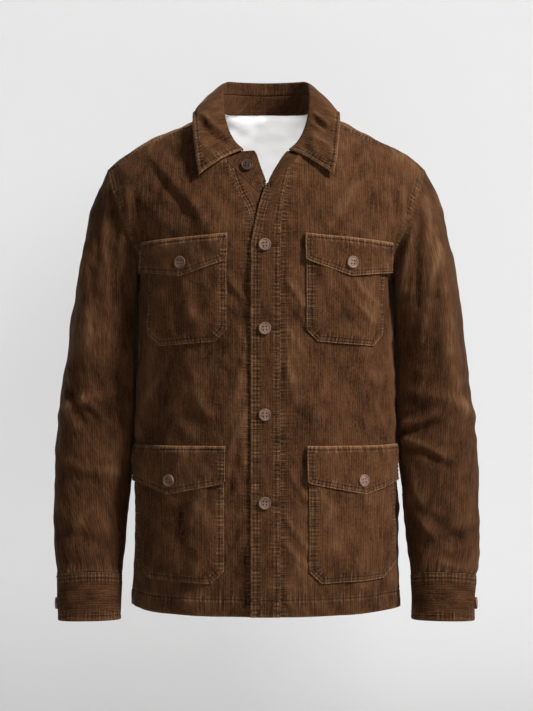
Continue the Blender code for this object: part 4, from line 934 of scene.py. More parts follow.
@dataclass
class BodyForm:
    """The form of the filled-out body, which fronts, back and bands follow."""

    hem_z: float = -0.7195
    chest_z: float = -0.235
    tip_x: float = 0.2386
    squareness: float = 2.4
    # Height, half width, depth of the front and of the back.
    girths: Rows = (
        (-0.7195, 0.2006, 0.142, 0.126), (-0.560, 0.1985, 0.140, 0.119), (-0.400, 0.1955, 0.138, 0.116),
        (-0.300, 0.1940, 0.139, 0.124), (-0.235, 0.1930, 0.140, 0.131))
    ridge_at_neck: tuple[float, float] = (0.1064, 0.012)
    ridge_slope: float = 0.5
    tip_drop: tuple[float, float] = (0.205, 0.0097)
    front_roundness: tuple[float, float] = (1.8, 2.3)
    back_roundness: float = 2.6
    # Place along the shoulder and the seam's fall below the ridge.
    seam: Rows = ((0.083, 0.0145), (0.110, 0.0110), (0.170, 0.0060), (0.2386, 0.0045))
    # Height, |x| of the cut in front and behind, half width of the form's level there.
    armhole: Rows = (
        (-0.2350, 0.1930, 0.1930, 0.1930), (-0.2025, 0.1877, 0.1895, 0.2000),
        (-0.1840, 0.1954, 0.1968, 0.2120), (-0.1550, 0.2085, 0.2090, 0.2350),
        (-0.1250, 0.2177, 0.2180, 0.2480), (-0.0970, 0.2280, 0.2280, 0.2580),
        (-0.0590, 0.2386, 0.2386, 0.2660))
    front_folds: Creases = crease_rows(
        (-166, -75, -118, -140, 12, -2.4), (-148, -80, -80, -160, 14, 3.5),
        (144, -92, 100, -142, 13, -3), (185, -330, 120, -450, 18, -3),
        (-185, -350, -110, -440, 18, -3), (30, -370, 75, -440, 14, 2.5))
    back_folds: Creases = crease_rows(
        (-185, -180, -100, -290, 18, -4), (185, -190, 110, -300, 18, -4),
        (-150, -330, -40, -420, 20, 3.5), (150, -360, 30, -430, 20, 3.5),
        (-60, -520, -75, -700, 22, 3), (80, -500, 70, -700, 22, -3))

    def __post_init__(self) -> None:
        """Works out the curves."""
        heights = [row[0] for row in self.girths]
        self.half_width, self.front, self.back = (
            smooth_curve(heights, [row[k] for row in self.girths]) for k in (1, 2, 3))
        self.seam_fall = smooth_curve([row[0] for row in self.seam], [row[1] for row in self.seam])
        self.armhole_x, self.level_half_width = {}, {}
        for behind in (False, True):
            x = np.array([row[2 if behind else 1] for row in self.armhole])
            rows = self.row_of(x, np.array([row[0] for row in self.armhole]), behind)
            rows[0], rows[-1] = 0.0, 1.0
            self.armhole_x[behind] = smooth_curve(rows, x)
            self.level_half_width[behind] = smooth_curve(rows, [row[3] for row in self.armhole])

    def ridge_z(self, x: Array) -> Array:
        """Height of the shoulder's ridge at |x|."""
        start, drop = self.tip_drop
        fall = drop * (np.maximum(0, x - start) / (self.tip_x - start)) ** 2
        return self.ridge_at_neck[1] - self.ridge_slope * (x - self.ridge_at_neck[0]) - fall

    def roundness(self, x: Array, behind: bool) -> Array:
        """Exponent of the roll over the shoulder at |x|."""
        if behind:
            return np.full(np.shape(x), self.back_roundness)
        low, high = self.front_roundness
        return low + (high - low) * np.clip(x / self.tip_x, 0, 1)

    def seam_angle(self, x: Array) -> Array:
        """Angle of the roll, up from the chest, at which the shoulder seam lies."""
        share = 1 - self.seam_fall(x) / (self.ridge_z(x) - self.chest_z)
        return np.arcsin(share ** (self.roundness(x, False) / 2))

    def row_of(self, x: Array, z: Array, behind: bool) -> Array:
        """Share of the way from the chest level to the shoulder seam (front) or ridge (back)."""
        share = np.clip((z - self.chest_z) / (self.ridge_z(x) - self.chest_z), 0, 1)
        angle = np.arcsin(share ** (self.roundness(x, behind) / 2))
        return angle / (math.pi / 2 if behind else self.seam_angle(x))

    def section(self, x: Array, half_width: Array, depth: Array) -> Array:
        """Depth of a rounded section at |x|."""
        inside = np.clip(1 - np.clip(x / half_width, 0, 1) ** self.squareness, 0, 1)
        return depth * inside ** (1 / self.squareness)

    def reach_at(self, y: Array, z: Array) -> Array:
        """|x| of the body's side below the chest at y and z, 0 in front of it and behind."""
        depth = np.where(y < 0, self.front(z), self.back(z))
        inside = np.clip(1 - np.clip(np.abs(y) / depth, 0, 1) ** self.squareness, 0, 1)
        return self.half_width(z) * inside ** (1 / self.squareness)

    def chest_depth(self, behind: bool) -> float:
        """Depth of the chest's section."""
        return float((self.back if behind else self.front)(self.chest_z))

    def upper_point(self, x: Array, row: Array, behind: bool) -> tuple[Array, Array]:
        """y and z above the chest at |x| on a row from 0 to 1, or past it."""
        full = math.pi / 2 if behind else self.seam_angle(x)
        angle = np.clip(row, 0, None) * full
        power = 2 / self.roundness(x, behind)
        reach = self.section(x, self.level_half_width[behind](row), self.chest_depth(behind))
        y = reach * np.clip(np.cos(angle), 0, 1) ** power
        z = self.chest_z + (self.ridge_z(x) - self.chest_z) * np.clip(np.sin(angle), 0, 1) ** power
        return (y if behind else -y), z

    def front_y(self, x: Array, z: Array) -> Array:
        """y of the front at |x| and height z, without folds."""
        low = self.section(x, self.half_width(z), self.front(z))
        share = np.clip((z - self.chest_z) / (self.ridge_z(x) - self.chest_z), 0, 1)
        power = self.roundness(x, False)
        reach = self.section(x, self.level_half_width[False](self.row_of(x, z, False)),
                             self.chest_depth(False))
        return -np.where(z > self.chest_z, reach * (1 - share ** power) ** (1 / power), low)

    def folded(self, points: Array, behind: bool) -> Array:
        """Points of the body moved out or in by its largest folds."""
        folds = self.back_folds if behind else self.front_folds
        height = crease_height(points[..., 0], points[..., 2], folds)
        return points + unit(away_from_axis(points)) * height[..., None]

    def front_point(self, x: Array, z: Array) -> Array:
        """Point of the front at signed x and height z, folds included."""
        x, z = pair(x, z)
        return self.folded(np.stack([x, self.front_y(np.abs(x), z), z], axis=-1), False)

    def front_normal(self, x: Array, z: Array) -> Array:
        """Outward unit normal of the front, folds included."""
        x, z = pair(x, z)
        along_x = self.front_point(x + STEP, z) - self.front_point(x - STEP, z)
        along_z = self.front_point(x, z + STEP) - self.front_point(x, z - STEP)
        normals = unit(np.cross(along_x, along_z))
        return np.where(normals[..., 1:2] > 0, -normals, normals)


BODY = BodyForm()


@dataclass(frozen=True)
class Drape:
    """The smaller creases and the unevenness that the body's cloth shows."""

    front: Creases = crease_rows(
        # Right front: beside the armhole, beside the pocket, above and beside the low flap.
        (-157, -82, -118, -132, 6, -1.6, 3), (-146, -79, -94, -146, 6, 1.4, -4),
        (-205, -102, -200, -158, 4, 1.4), (-190.6, -108, -184.4, -163, 4.5, -1.4, 2),
        (-54.8, -230.6, -29, -266.5, 5, 2, 2), (-51.9, -255, -30, -292.2, 4.2, -1.4),
        (-50, -296, -31, -332, 4.5, 1.3, -2), (-170.5, -396.4, -190, -460, 7, 2.8, 3),
        (-147.1, -388.6, -162.6, -456, 6.5, -2.2, -2), (-105, -370, -85, -430, 9, 1.8, 4),
        (-31, -430.8, -56, -500, 6.5, 2, 3), (-40.5, -466.6, -53, -540, 5, -1.5),
        (-40.5, -578.1, -56, -610, 4.2, 1.8), (-37.6, -606.7, -54, -638, 4.2, 1.5),
        (-33, -355, -42, -405, 5.5, 1.4, 2),
        # Left front.
        (144.8, -88.3, 99.1, -138.7, 7.5, 2.6, 4), (114, -127.8, 91.7, -158, 5.5, 2, -2),
        (162, -105, 140, -152, 7, -1.6, 2), (200.2, -101.8, 203, -156, 4.2, 2, 1),
        (189, -110, 186, -160, 4.5, -1.4), (30, -240.8, 53, -273.6, 5, 1.8, -2),
        (29.6, -273.6, 54.5, -309.3, 4.2, -1.5), (32, -312, 52, -340, 4.5, 1.3),
        (158.5, -381.5, 174.5, -455.3, 7.5, 2.8, 4), (182.9, -308.1, 179.5, -352.4, 6, 2),
        (126, -390, 138, -450, 8, -2, -3), (88, -375, 70, -445, 9, 1.6, 3),
        (33.9, -509.5, 56, -548, 5, 2.2, 2), (29, -580.9, 54.5, -616.9, 4.5, 2),
        (29, -616.6, 56, -645.7, 4, 2, 2), (30, -365, 42, -415, 5.5, 1.5, -2),
    )
    back: Creases = crease_rows(
        (-170, -110, -120, -190, 9, 3, 4), (-185, -130, -150, -220, 7, -2.4, 3),
        (165, -105, 128, -200, 9, 2.8, -4), (190, -140, 158, -230, 7, -2.2, -3),
        (-120, -30, -60, -70, 9, 1.6, 3), (115, -34, 55, -66, 8, 1.6, -3),
        (-160, -400, -85, -450, 8, 2.4, 4), (-130, -430, -60, -470, 7, -2, 3),
        (150, -410, 80, -465, 8, 2.2, -4), (120, -445, 50, -480, 7, -1.8, -3),
        (-30, -250, -18, -380, 12, 2, 5), (45, -230, 28, -350, 12, -1.8, -4),
        (-140, -560, -150, -700, 12, 2.6, 4), (135, -550, 150, -700, 12, 2.4, -4),
        (10, -540, 0, -690, 14, 2, 5),
    )
    broad: Unevenness = Unevenness(11, 0.0014, 0.060, 0.160, 0.35)
    fine: Unevenness = Unevenness(12, 0.00055, 0.018, 0.045, 0.6)
    strength: float = 1.3

    def height(self, points: Array, behind: bool) -> Array:
        """Relief at points of the body."""
        creases = crease_height(points[..., 0], points[..., 2], self.back if behind else self.front)
        return self.strength * creases + self.broad.at(points) + self.fine.at(points)


DRAPE = Drape()


def held_share(points: Array, lines: Sequence[Array], reach: float = 0.010) -> Array:
    """0 at seams, where neighbours hold the cloth, to 1 at reach from all of them."""
    gaps = np.minimum.reduce([nearest(line, points, 0.003)[0] for line in lines])
    return smooth_step(gaps / reach)


def grain_of(points: Array, start: Array) -> Array:
    """Places across and along the wales, in metres, for a grid whose columns run up the cloth."""
    widths = np.linalg.norm(np.diff(points, axis=1), axis=-1)
    across = np.concatenate([np.zeros((len(points), 1)), np.cumsum(widths, axis=1)], axis=1)
    across = start[:, None] + across
    heights = np.linalg.norm(np.diff(points, axis=0), axis=-1)
    along = np.concatenate([np.zeros((1, points.shape[1])), np.cumsum(heights, axis=0)], axis=0)
    return np.stack([across, along], axis=-1)


@dataclass
class FrontPanel:
    """One front panel, from its inner edge to the side seam and armhole, hem to shoulder."""

    side: Side
    step: float = 0.0036
    chest_share: float = 0.58
    corner_share: float = 0.80
    length: float = 0.836
    edges: dict[Side, Rows] = field(default_factory=lambda: {
        Side.RIGHT: ((0.0225, -0.7195), (0.0225, -0.235), (0.0225, -0.165), (0.0250, -0.142),
                     (0.0405, -0.110), (0.0575, -0.0640)),
        Side.LEFT: ((0.0203, -0.7195), (0.0205, -0.235), (0.0212, -0.165), (0.0225, -0.143),
                    (0.0280, -0.108), (0.0400, -0.0640))})
    necks: dict[Side, Rows] = field(default_factory=lambda: {
        Side.RIGHT: ((0.0685, -0.037), (0.0785, -0.010), (0.0830, 0.0092)),
        Side.LEFT: ((0.0610, -0.044), (0.0775, -0.012), (0.0830, 0.0092))})
    cut: Cut = Cut(0.265, 0.775, 0.175)
    # Cloth that lies under the band, and the panel's rough width.
    tucked: Array = field(default_factory=lambda: np.array([0.0035, 0.0020, 0.0009]))
    width: float = 0.20

    def __post_init__(self) -> None:
        """Works out the inner edge."""
        edge, neck = self.edges[self.side], self.necks[self.side]
        rows = [float(BODY.row_of(np.array(x), np.array(z), False)) for x, z in edge[1:] + neck]
        rows[0], rows[-1] = 0.0, 1.0
        self.corner_row = rows[len(edge) - 2]
        self.upper_x = smooth_curve(rows, [x for x, _ in edge[1:] + neck])
        self.lower_x = smooth_curve([edge[0][1], edge[1][1]], [edge[0][0], edge[1][0]])

    def surface(self, u: Array, v: Array, with_folds: bool = True) -> Array:
        """Points of the panel at shares across and up."""
        u, v = pair(u, v)
        low_z = BODY.hem_z + (BODY.chest_z - BODY.hem_z) * np.clip(v / self.chest_share, 0, 1)
        row = np.interp(v, [self.chest_share, self.corner_share, 1], [0, self.corner_row, 1])
        upper = v > self.chest_share
        width = np.where(upper, BODY.level_half_width[False](row), BODY.half_width(low_z))
        inner_x = np.where(upper, self.upper_x(row), self.lower_x(low_z))
        outer_x = np.where(upper, BODY.armhole_x[False](row), width)
        start = np.arcsin(np.clip(inner_x / width, 0, 1))
        stop = np.arcsin(np.clip(outer_x / width, 0, 1))
        x = width * np.sin(start + (stop - start) * u)
        high_y, high_z = BODY.upper_point(x, row, False)
        low_y = -BODY.section(x, width, BODY.front(low_z))
        points = np.stack([self.side.value * x, np.where(upper, high_y, low_y),
                           np.where(upper, high_z, low_z)], axis=-1)
        return BODY.folded(points, False) if with_folds else points

    def plain(self, u: Array, v: Array) -> Array:
        """Points without folds."""
        return self.surface(u, v, False)

    def normals(self, u: Array, v: Array) -> Array:
        """Outward unit normals without folds."""
        return surface_normals(self.plain, u, v, away_from_axis(self.plain(u, v)) + [0, 0, 0.05])

    def cloth(self) -> Cloth:
        """The panel's sheet with its hem, seams and topstitching."""
        places = np.array([0.0, 0.3, 0.6, 0.8, 1.0])
        across = grid_shares(lambda t: self.plain(t[None], np.array([0, 0.3, 0.6, 0.8, 0.9])[:, None]),
                             self.step, RIM + (0.006, 0.009, 0.011, 0.013))
        up = grid_shares(lambda t: self.plain(places[:, None], t[None]), self.step, RIM)
        hem = (HEM.rows[0] + np.array([-0.0022, -0.0011, 0, 0.0011, 0.0022])) / self.length
        up = np.unique(np.concatenate([up, hem]))
        u, v = np.meshgrid(np.concatenate([-self.tucked / self.width, across]), up)
        u = np.where(u < 0, u * (0.3 + 0.7 * smooth_step((self.corner_share - v) / 0.006)), u)
        base = self.surface(u, v)
        base[..., 1] -= SEAM_GAP * (u == 1) * (v <= self.chest_share + 1e-9)
        grain = grain_of(base, np.abs(base[:, 0, 0]))
        seam = base[:, len(self.tucked)]
        cloth = Cloth("front_" + self.side.word, base, self.normals(np.maximum(u, 0), v), CLOTH, grain,
                      self.cut, rests_on=("back",))
        cloth.fold(held_share(base, [seam, base[:, -1], base[-1]]) * DRAPE.height(base, False))
        cloth.relief -= np.clip(-u * self.width / 0.0009, 0, 1) * self.depth_under_band(base[..., 2])
        upper = v[:, 0] >= self.chest_share - 1e-9
        armhole = base[upper][:, -1]
        beside = smooth_step((base[..., 2] - BODY.chest_z + 0.004) / 0.01)
        seed = 40 + self.side.value
        cloth.sew(armhole, ARMHOLE, seed, beside)
        cloth.sew(base[-1], SHOULDER, seed + 2)
        cloth.sew(base[0], HEM, seed + 4)
        lower = v[:, 0] <= self.chest_share
        cloth.sew(base[lower][:, -1], SIDE_SEAM, seed + 6)
        cloth.sew(seam[v[:, 0] < self.corner_share], BAND_SEAM, seed + 8)
        return cloth

    def depth_under_band(self, z: Array) -> Array:
        """How deep the cloth tucked under the band must lie at heights."""
        if self.side is Side.RIGHT:
            return np.full_like(z, CLOTH + SEAM_GAP)
        settled = smooth_step((z - FrontBand.settle_from) / (-0.064 - FrontBand.settle_from))
        return np.maximum(0, FACED_CLOTH + SEAM_GAP - (FACED_CLOTH + BAND_LIFT) * (1 - settled))


@dataclass
class BackPanel:
    """The back, one panel that runs over the shoulders to the forward seams."""

    step: float = 0.0055
    chest_share: float = 0.52
    neck_share: float = 5 / 14
    length: float = 0.93
    # Plan of the neck's edge, from the centre to the shoulder seam.
    neck: Rows = ((0.0000, 0.0795), (0.0360, 0.0690), (0.0590, 0.0480), (0.0715, 0.0220),
                  (0.0790, -0.0080), (0.0830, -0.0350))
    # How far the neck's edge is raised above the plain roll, by distance from the middle.
    neck_rise: Rows = ((0.0, 0.0017), (0.0155, 0.0033), (0.0275, 0.0050), (0.0390, 0.0052),
                       (0.0489, 0.0031), (0.0573, 0.0006), (0.0660, 0.0), (0.0900, 0.0))
    cut: Cut = Cut(0.560, 0.830, 0.404)

    def top_edge(self, share: Array) -> tuple[Array, Array]:
        """Plan of the top edge at a share from the centre line to the armhole."""
        xs, ys = np.array(self.neck).T
        run = np.concatenate([[0], np.cumsum(np.hypot(np.diff(xs), np.diff(ys)))])
        run = run / run[-1]
        neck = np.clip(share / self.neck_share, 0, 1)
        shoulder = np.clip((share - self.neck_share) / (1 - self.neck_share), 0, 1)
        width = BODY.armhole[-1][3]
        start, stop = math.asin(xs[-1] / width), math.asin(BODY.tip_x / width)
        x_shoulder = width * np.sin(start + (stop - start) * shoulder)
        inside = share < self.neck_share
        x = np.where(inside, smooth_curve(run, xs)(neck), x_shoulder)
        seam_y = BODY.upper_point(x_shoulder, np.ones_like(x_shoulder), False)[0]
        return x, np.where(inside, smooth_curve(run, ys)(neck), seam_y)

    def angle_on_roll(self, x: Array, y: Array) -> Array:
        """Angle of the roll over the back, up from the chest and past the ridge."""
        ones = np.ones_like(x)
        back = BODY.section(x, BODY.level_half_width[True](ones), BODY.chest_depth(True))
        front = BODY.section(x, BODY.level_half_width[False](ones), BODY.chest_depth(False))
        back_cos = np.clip(y / back, 0, 1) ** (BODY.roundness(x, True) / 2)
        front_cos = np.clip(-y / front, 0, 1) ** (BODY.roundness(x, False) / 2)
        return np.where(y >= 0, np.arccos(back_cos), math.pi - np.arccos(front_cos))

    def over_ridge(self, x: Array, angle: Array) -> tuple[Array, Array]:
        """y and z at |x| on the roll, at an angle that may pass the ridge."""
        over = angle > math.pi / 2
        back_y, back_z = BODY.upper_point(x, np.minimum(angle / (math.pi / 2), 1), True)
        front_y, front_z = BODY.upper_point(x, (math.pi - angle) / BODY.seam_angle(x), False)
        return np.where(over, front_y, back_y), np.where(over, front_z, back_z)

    def upper(self, share: Array, row: Array) -> tuple[Array, Array]:
        """x and the angle of the roll at a share from the centre and a row above the chest."""
        top_x, top_y = self.top_edge(share)
        angle = row * self.angle_on_roll(top_x, top_y)
        ridge_row = np.clip(angle / (math.pi / 2), 0, 1)
        width = BODY.level_half_width[True](ridge_row)
        stop = np.arcsin(np.clip(BODY.armhole_x[True](ridge_row) / width, 0, 1))
        blend = smooth_step(row)
        return width * np.sin(share * stop) * (1 - blend) + top_x * blend, angle

    def surface(self, u: Array, v: Array, with_folds: bool = True) -> Array:
        """Points of the back: u from the right side to the left, v from the hem over the ridge."""
        u, v = pair(u, v)
        side = np.where(u < 0.5, -1, 1)
        share = np.abs(2 * u - 1)
        low_z = BODY.hem_z + (BODY.chest_z - BODY.hem_z) * np.clip(v / self.chest_share, 0, 1)
        row = np.clip((v - self.chest_share) / (1 - self.chest_share), 0, 1)
        upper = v > self.chest_share
        x_low = BODY.half_width(low_z) * np.sin(share * math.pi / 2)
        y_low = BODY.section(x_low, BODY.half_width(low_z), BODY.back(low_z))
        x_high, angle = self.upper(share, row)
        y_high, z_high = self.over_ridge(x_high, angle)
        rise = smooth_curve(*zip(*self.neck_rise))(np.abs(x_high))
        z_high = z_high + rise * smooth_step((row - 0.88) / 0.12)
        points = np.stack([side * np.where(upper, x_high, x_low), np.where(upper, y_high, y_low),
                           np.where(upper, z_high, low_z)], axis=-1)
        return BODY.folded(points, True) if with_folds else points

    def plain(self, u: Array, v: Array) -> Array:
        """Points without folds."""
        return self.surface(u, v, False)

    def normals(self, u: Array, v: Array) -> Array:
        """Outward unit normals without folds."""
        u, v = pair(u, v)
        plain = self.plain(u, v)
        low = surface_normals(self.plain, u, np.minimum(v, self.chest_share), away_from_axis(plain))
        row = np.clip((v - self.chest_share) / (1 - self.chest_share), 0, 1)
        x, angle = self.upper(np.abs(2 * u - 1), row)

        def roll(x: Array, angle: Array) -> Array:
            """Point of the roll."""
            return np.stack([np.where(u < 0.5, -1, 1) * x, *self.over_ridge(np.abs(x), angle)], axis=-1)

        high = unit(np.cross(roll(x + STEP, angle) - roll(x - STEP, angle),
                             roll(x, angle + STEP) - roll(x, angle - STEP)))
        outward = away_from_axis(plain) + [0, 0, 0.05]
        high = np.where(np.sum(high * outward, axis=-1, keepdims=True) < 0, -high, high)
        return np.where(v[..., None] > self.chest_share, high, low)

    def cloth(self) -> Cloth:
        """The back's sheet with its hem and seams."""
        places = np.array([0.001, 0.1, 0.25, 0.4, 0.5])
        across = grid_shares(lambda t: self.plain(t[None], np.array([0, 0.3, 0.6, 0.8, 1])[:, None]),
                             self.step, RIM)
        up = grid_shares(lambda t: self.plain(places[:, None], t[None]), self.step, RIM)
        up = np.unique(np.concatenate([up, (HEM.rows[0] + np.array([-0.0012, 0, 0.0012])) / self.length]))
        u, v = np.meshgrid(across, up)
        base = self.surface(u, v)
        base[-1] += unit(base[-2] - base[-1]) * 2 * SEAM_GAP
        middle = len(across) // 2
        grain = grain_of(base, np.zeros(len(up)))
        grain[..., 0] -= grain[:, middle:middle + 1, 0]
        cloth = Cloth("back", base, self.normals(u, v), CLOTH, grain, self.cut, rests_on=())
        seams = [base[:, 0], base[:, -1], base[-1]]
        cloth.fold(held_share(base, seams) * DRAPE.height(base, True))
        upper = v[:, 0] >= self.chest_share - 1e-9
        beside = smooth_step((base[..., 2] - BODY.chest_z + 0.004) / 0.01)
        for number, column in enumerate((0, -1)):
            cloth.sew(base[upper][:, column], ARMHOLE, 60 + number, beside)
            cloth.sew(base[~upper][:, column], SIDE_SEAM, 64 + number)
        cloth.sew(base[0], HEM, 62)
        cloth.sew(base[-1], SHOULDER_BACK, 63)
        return cloth


@dataclass
class FrontBand:
    """The band along a front's edge: buttons on the right, buttonholes on the left."""

    side: Side
    lift: float
    thickness: float
    # Height of the seam, free edge x and z beside it, and how far the edge turns in.
    rows: Rows
    settle_from: float = -0.130
    cut: Cut = Cut(0.044, 0.655, 0.0277)

    @staticmethod
    def button_side() -> "FrontBand":
        """The band under the buttonholes."""
        return FrontBand(Side.RIGHT, 0.0, CLOTH, (
            (-0.7195, 0.0200, -0.7195, 0.0), (-0.400, 0.0200, -0.400, 0.0),
            (-0.200, 0.0200, -0.205, 0.0005), (-0.165, 0.0188, -0.178, 0.0020),
            (-0.142, 0.0145, -0.160, 0.0040), (-0.110, 0.0080, -0.143, 0.0065),
            (-0.084, 0.0035, -0.131, 0.0080), (-0.0640, -0.0005, -0.1215, 0.0090)))

    @staticmethod
    def buttonhole_side() -> "FrontBand":
        """The band on top, with the buttonholes."""
        return FrontBand(Side.LEFT, BAND_LIFT + FACED_CLOTH, FACED_CLOTH, (
            (-0.7195, -0.0226, -0.7195, 0.0), (-0.400, -0.0226, -0.400, 0.0),
            (-0.200, -0.0223, -0.190, 0.0), (-0.165, -0.0182, -0.1634, 0.0003),
            (-0.143, -0.0142, -0.1427, 0.0010), (-0.108, -0.0084, -0.1200, 0.0025),
            (-0.084, -0.0052, -0.1090, 0.0040), (-0.0640, -0.0025, -0.1025, 0.0055)))

    def surface(self, u: Array, v: Array) -> Array:
        """Points of the band: u from its seam to its free edge, v from the hem up."""
        panel = FrontPanel(self.side)
        knots = [row[0] for row in self.rows]
        free_x, free_z, turn_in = (smooth_curve(knots, [row[k] for row in self.rows]) for k in (1, 2, 3))
        u, v = pair(u, v)
        seam = panel.plain(0.0, v * panel.corner_share)
        seam_x = seam[..., 0] - self.side.value * 1.5 * SEAM_GAP
        x = seam_x * (1 - u) + free_x(seam[..., 2]) * u
        z = seam[..., 2] * (1 - u) + free_z(seam[..., 2]) * u
        settle = smooth_step((seam[..., 2] - self.settle_from) / (knots[-1] - self.settle_from))
        y = BODY.front_y(np.abs(x), z) - self.lift * (1 - settle) + turn_in(seam[..., 2]) * u ** 1.5
        return np.stack([x, y, z], axis=-1)

    def normals(self, u: Array, v: Array) -> Array:
        """Unit normals that face forward."""
        return surface_normals(self.surface, u, v, np.array([0, -1.0, 0]))

    def cloth(self) -> Cloth:
        """The band's sheet, puckered crosswise between its rows of stitches."""
        across = grid_shares(lambda t: self.surface(t[None], np.array([0, 0.4, 0.8, 1])[:, None]),
                             0.0022, RIM)
        up = grid_shares(lambda t: self.surface(np.array([0, 0.5, 1])[:, None], t[None]),
                         0.0024 if self.side is Side.LEFT else 0.0042, RIM)
        u, v = np.meshgrid(across, up)
        base = self.surface(u, v)
        grain = grain_of(base, base[:, 0, 0])
        on_top = self.side is Side.LEFT
        cloth = Cloth("placket_" + self.side.word, base, self.normals(u, v), self.thickness, grain,
                      self.cut, Lay.LAID, ("placket_right" if on_top else "front_right",))
        wave = Unevenness(21, 0.00035, 0.02, 0.06, 1.2)
        cloth.relief += wave.at(base) * smooth_step(cloth.rim_distance() / 0.004)
        seed = 70 + self.side.value
        cloth.sew(base[:, -1], BAND_EDGE, seed)
        cloth.sew(base[:, 0], BAND_JOIN, seed + 4)
        cloth.sew(base[0], BAND_HEM, seed + 8)
        return cloth


# ---- sleeves ------------------------------------------------------------------------

@dataclass
class Sleeve:
    """A sleeve and its cuff: a tube that starts at the armhole and presses on the body."""

    side: Side
    # Centre, half width across and half depth from front to back, down the arm.
    rings: Rows = (
        (0.2490, 0.002, -0.300, 0.0480, 0.0755), (0.2540, 0.004, -0.370, 0.0525, 0.0700),
        (0.2578, 0.001, -0.440, 0.0565, 0.0630), (0.2608, -0.009, -0.510, 0.0585, 0.0560),
        (0.2632, -0.025, -0.580, 0.0570, 0.0500), (0.2640, -0.041, -0.640, 0.0520, 0.0455),
        (0.2632, -0.049, -0.672, 0.0475, 0.0425), (0.2622, -0.0565, -0.705, 0.0458, 0.0405),
        (0.2612, -0.0630, -0.7362, 0.0448, 0.0395))
    end_z: float = -0.672
    cuff_gap: float = 0.0006
    cuff_proud: float = 0.0010
    # Clearance between the sleeve's inner side and the body, by height.
    clearance: Rows = ((-0.640, 0.0060), (-0.560, 0.0070), (-0.510, 0.0034), (-0.475, 0.0026),
                       (-0.440, 0.0024), (-0.300, 0.0022), (-0.245, 0.0014))
    # How much wider the inner side is than the outer, by height, where it lies on the body.
    inner_width: Rows = ((-0.580, 1.0), (-0.500, 1.12), (-0.440, 1.30), (-0.300, 1.36), (-0.230, 1.30))
    squareness: float = 2.2
    cap_share: float = 0.36
    cap_lean: float = 0.62
    length: float = 0.62
    radius: float = 0.055
    underarm: tuple[float, float] = (12, 95)
    underarm_gap: float = 0.0004
    seam_overlap: float = 0.0010
    # Turn and share of the length where a fold starts and ends, its half width and height.
    folds: Rows = (
        (60, 0.12, 75, 0.42, 0.014, 0.0028), (15, 0.15, 35, 0.40, 0.014, -0.0025),
        (20, 0.52, 120, 0.60, 0.012, -0.0030), (10, 0.60, 110, 0.54, 0.012, 0.0035),
        (30, 0.90, 130, 0.94, 0.010, -0.0040), (200, 0.50, 320, 0.60, 0.014, -0.0050),
        (220, 0.90, 330, 0.94, 0.010, -0.0040))
    creases: dict[Side, Creases] = field(default_factory=lambda: {
        Side.RIGHT: crease_rows(
            (-299.3, -404.5, -284.5, -449.1, 6, 3, 3), (-288, -400, -272, -442, 6, -2.6, 3),
            (-269.6, -412, -239.8, -449.1, 6.5, 3.4, -4), (-264, -428, -230, -460, 5.5, -2.8, -3),
            (-291.9, -504.2, -229.4, -516.1, 7.5, 2.2, 4), (-294.9, -528, -247.3, -536.9, 7, -2, -3),
            (-299.3, -672.2, -247.3, -657.3, 5.5, 2.8, 2), (-254.7, -664.8, -225, -670, 5, 2.4),
            (-290, -650, -245, -644, 6, -2.2, 3), (-235.4, -90, -238.4, -203.8, 6, 2, 3),
            (-250, -120, -256, -240, 8, -1.8, -4), (-220.5, -150, -223.5, -263.3, 5.5, -1.8, 2),
            (-270, -170, -262, -300, 9, 1.8, 5), (-230, -300, -245, -370, 8, 2, -3),
            (-260, -570, -285, -615, 8, 2, 3)),
        Side.LEFT: crease_rows(
            (216.6, -159.2, 200, -248.4, 6, 2.6, 3), (236, -114.6, 236, -293, 7.5, 2.4, -4),
            (252.3, -188.9, 228.5, -322.8, 6.5, 2.2, 4), (226, -150, 223, -270, 5, -2.2, 2),
            (246, -150, 233, -280, 5, -1.8), (201, -447, 245, -431, 6.5, 4, 3),
            (203, -460, 248, -447, 6, -4.2, 3), (206.2, -471.4, 258.3, -493.8, 6, 3, -3),
            (218, -490, 270, -510, 6.5, -2.2, -3), (213.7, -516.1, 228.5, -560.7, 6.5, 2.4, 3),
            (228.5, -590.4, 265.7, -627.6, 6.5, 2.6, 3), (245, -585, 285, -615, 6, -2.2, 2),
            (258.3, -649.9, 302.9, -672.2, 6, 2.8, -3), (270, -340, 290, -420, 9, 2, 4))})
    behind: Creases = crease_rows(
        (210, -440, 275, -420, 8, 4, 4), (215, -460, 285, -448, 7.5, -4, 4),
        (220, -485, 280, -495, 7, 3, -3), (235, -130, 230, -270, 8, 2.6, 4),
        (250, -150, 255, -300, 8, -2.2, -4), (240, -550, 280, -600, 8, 2.6, 4),
        (235, -640, 285, -655, 6.5, 2.6, 3), (270, -330, 285, -400, 9, 2.2, 4))
    sleeve_cut: Cut = Cut(0.440, 0.628, 0.207)
    cuff_cut: Cut = Cut(0.290, 0.065)
    button_z: float = -0.711

    def __post_init__(self) -> None:
        """Works out the ring curves and the armhole's loop."""
        order = sorted(self.rings, key=lambda ring: ring[2])
        heights = [ring[2] for ring in order]
        self.x, self.y, self.across, self.depth = (
            smooth_curve(heights, [ring[k] for ring in order]) for k in (0, 1, 3, 4))
        self.gap = smooth_curve(*zip(*self.clearance))
        self.inner = smooth_curve(*zip(*self.inner_width))
        self.loop = self.armhole_loop()

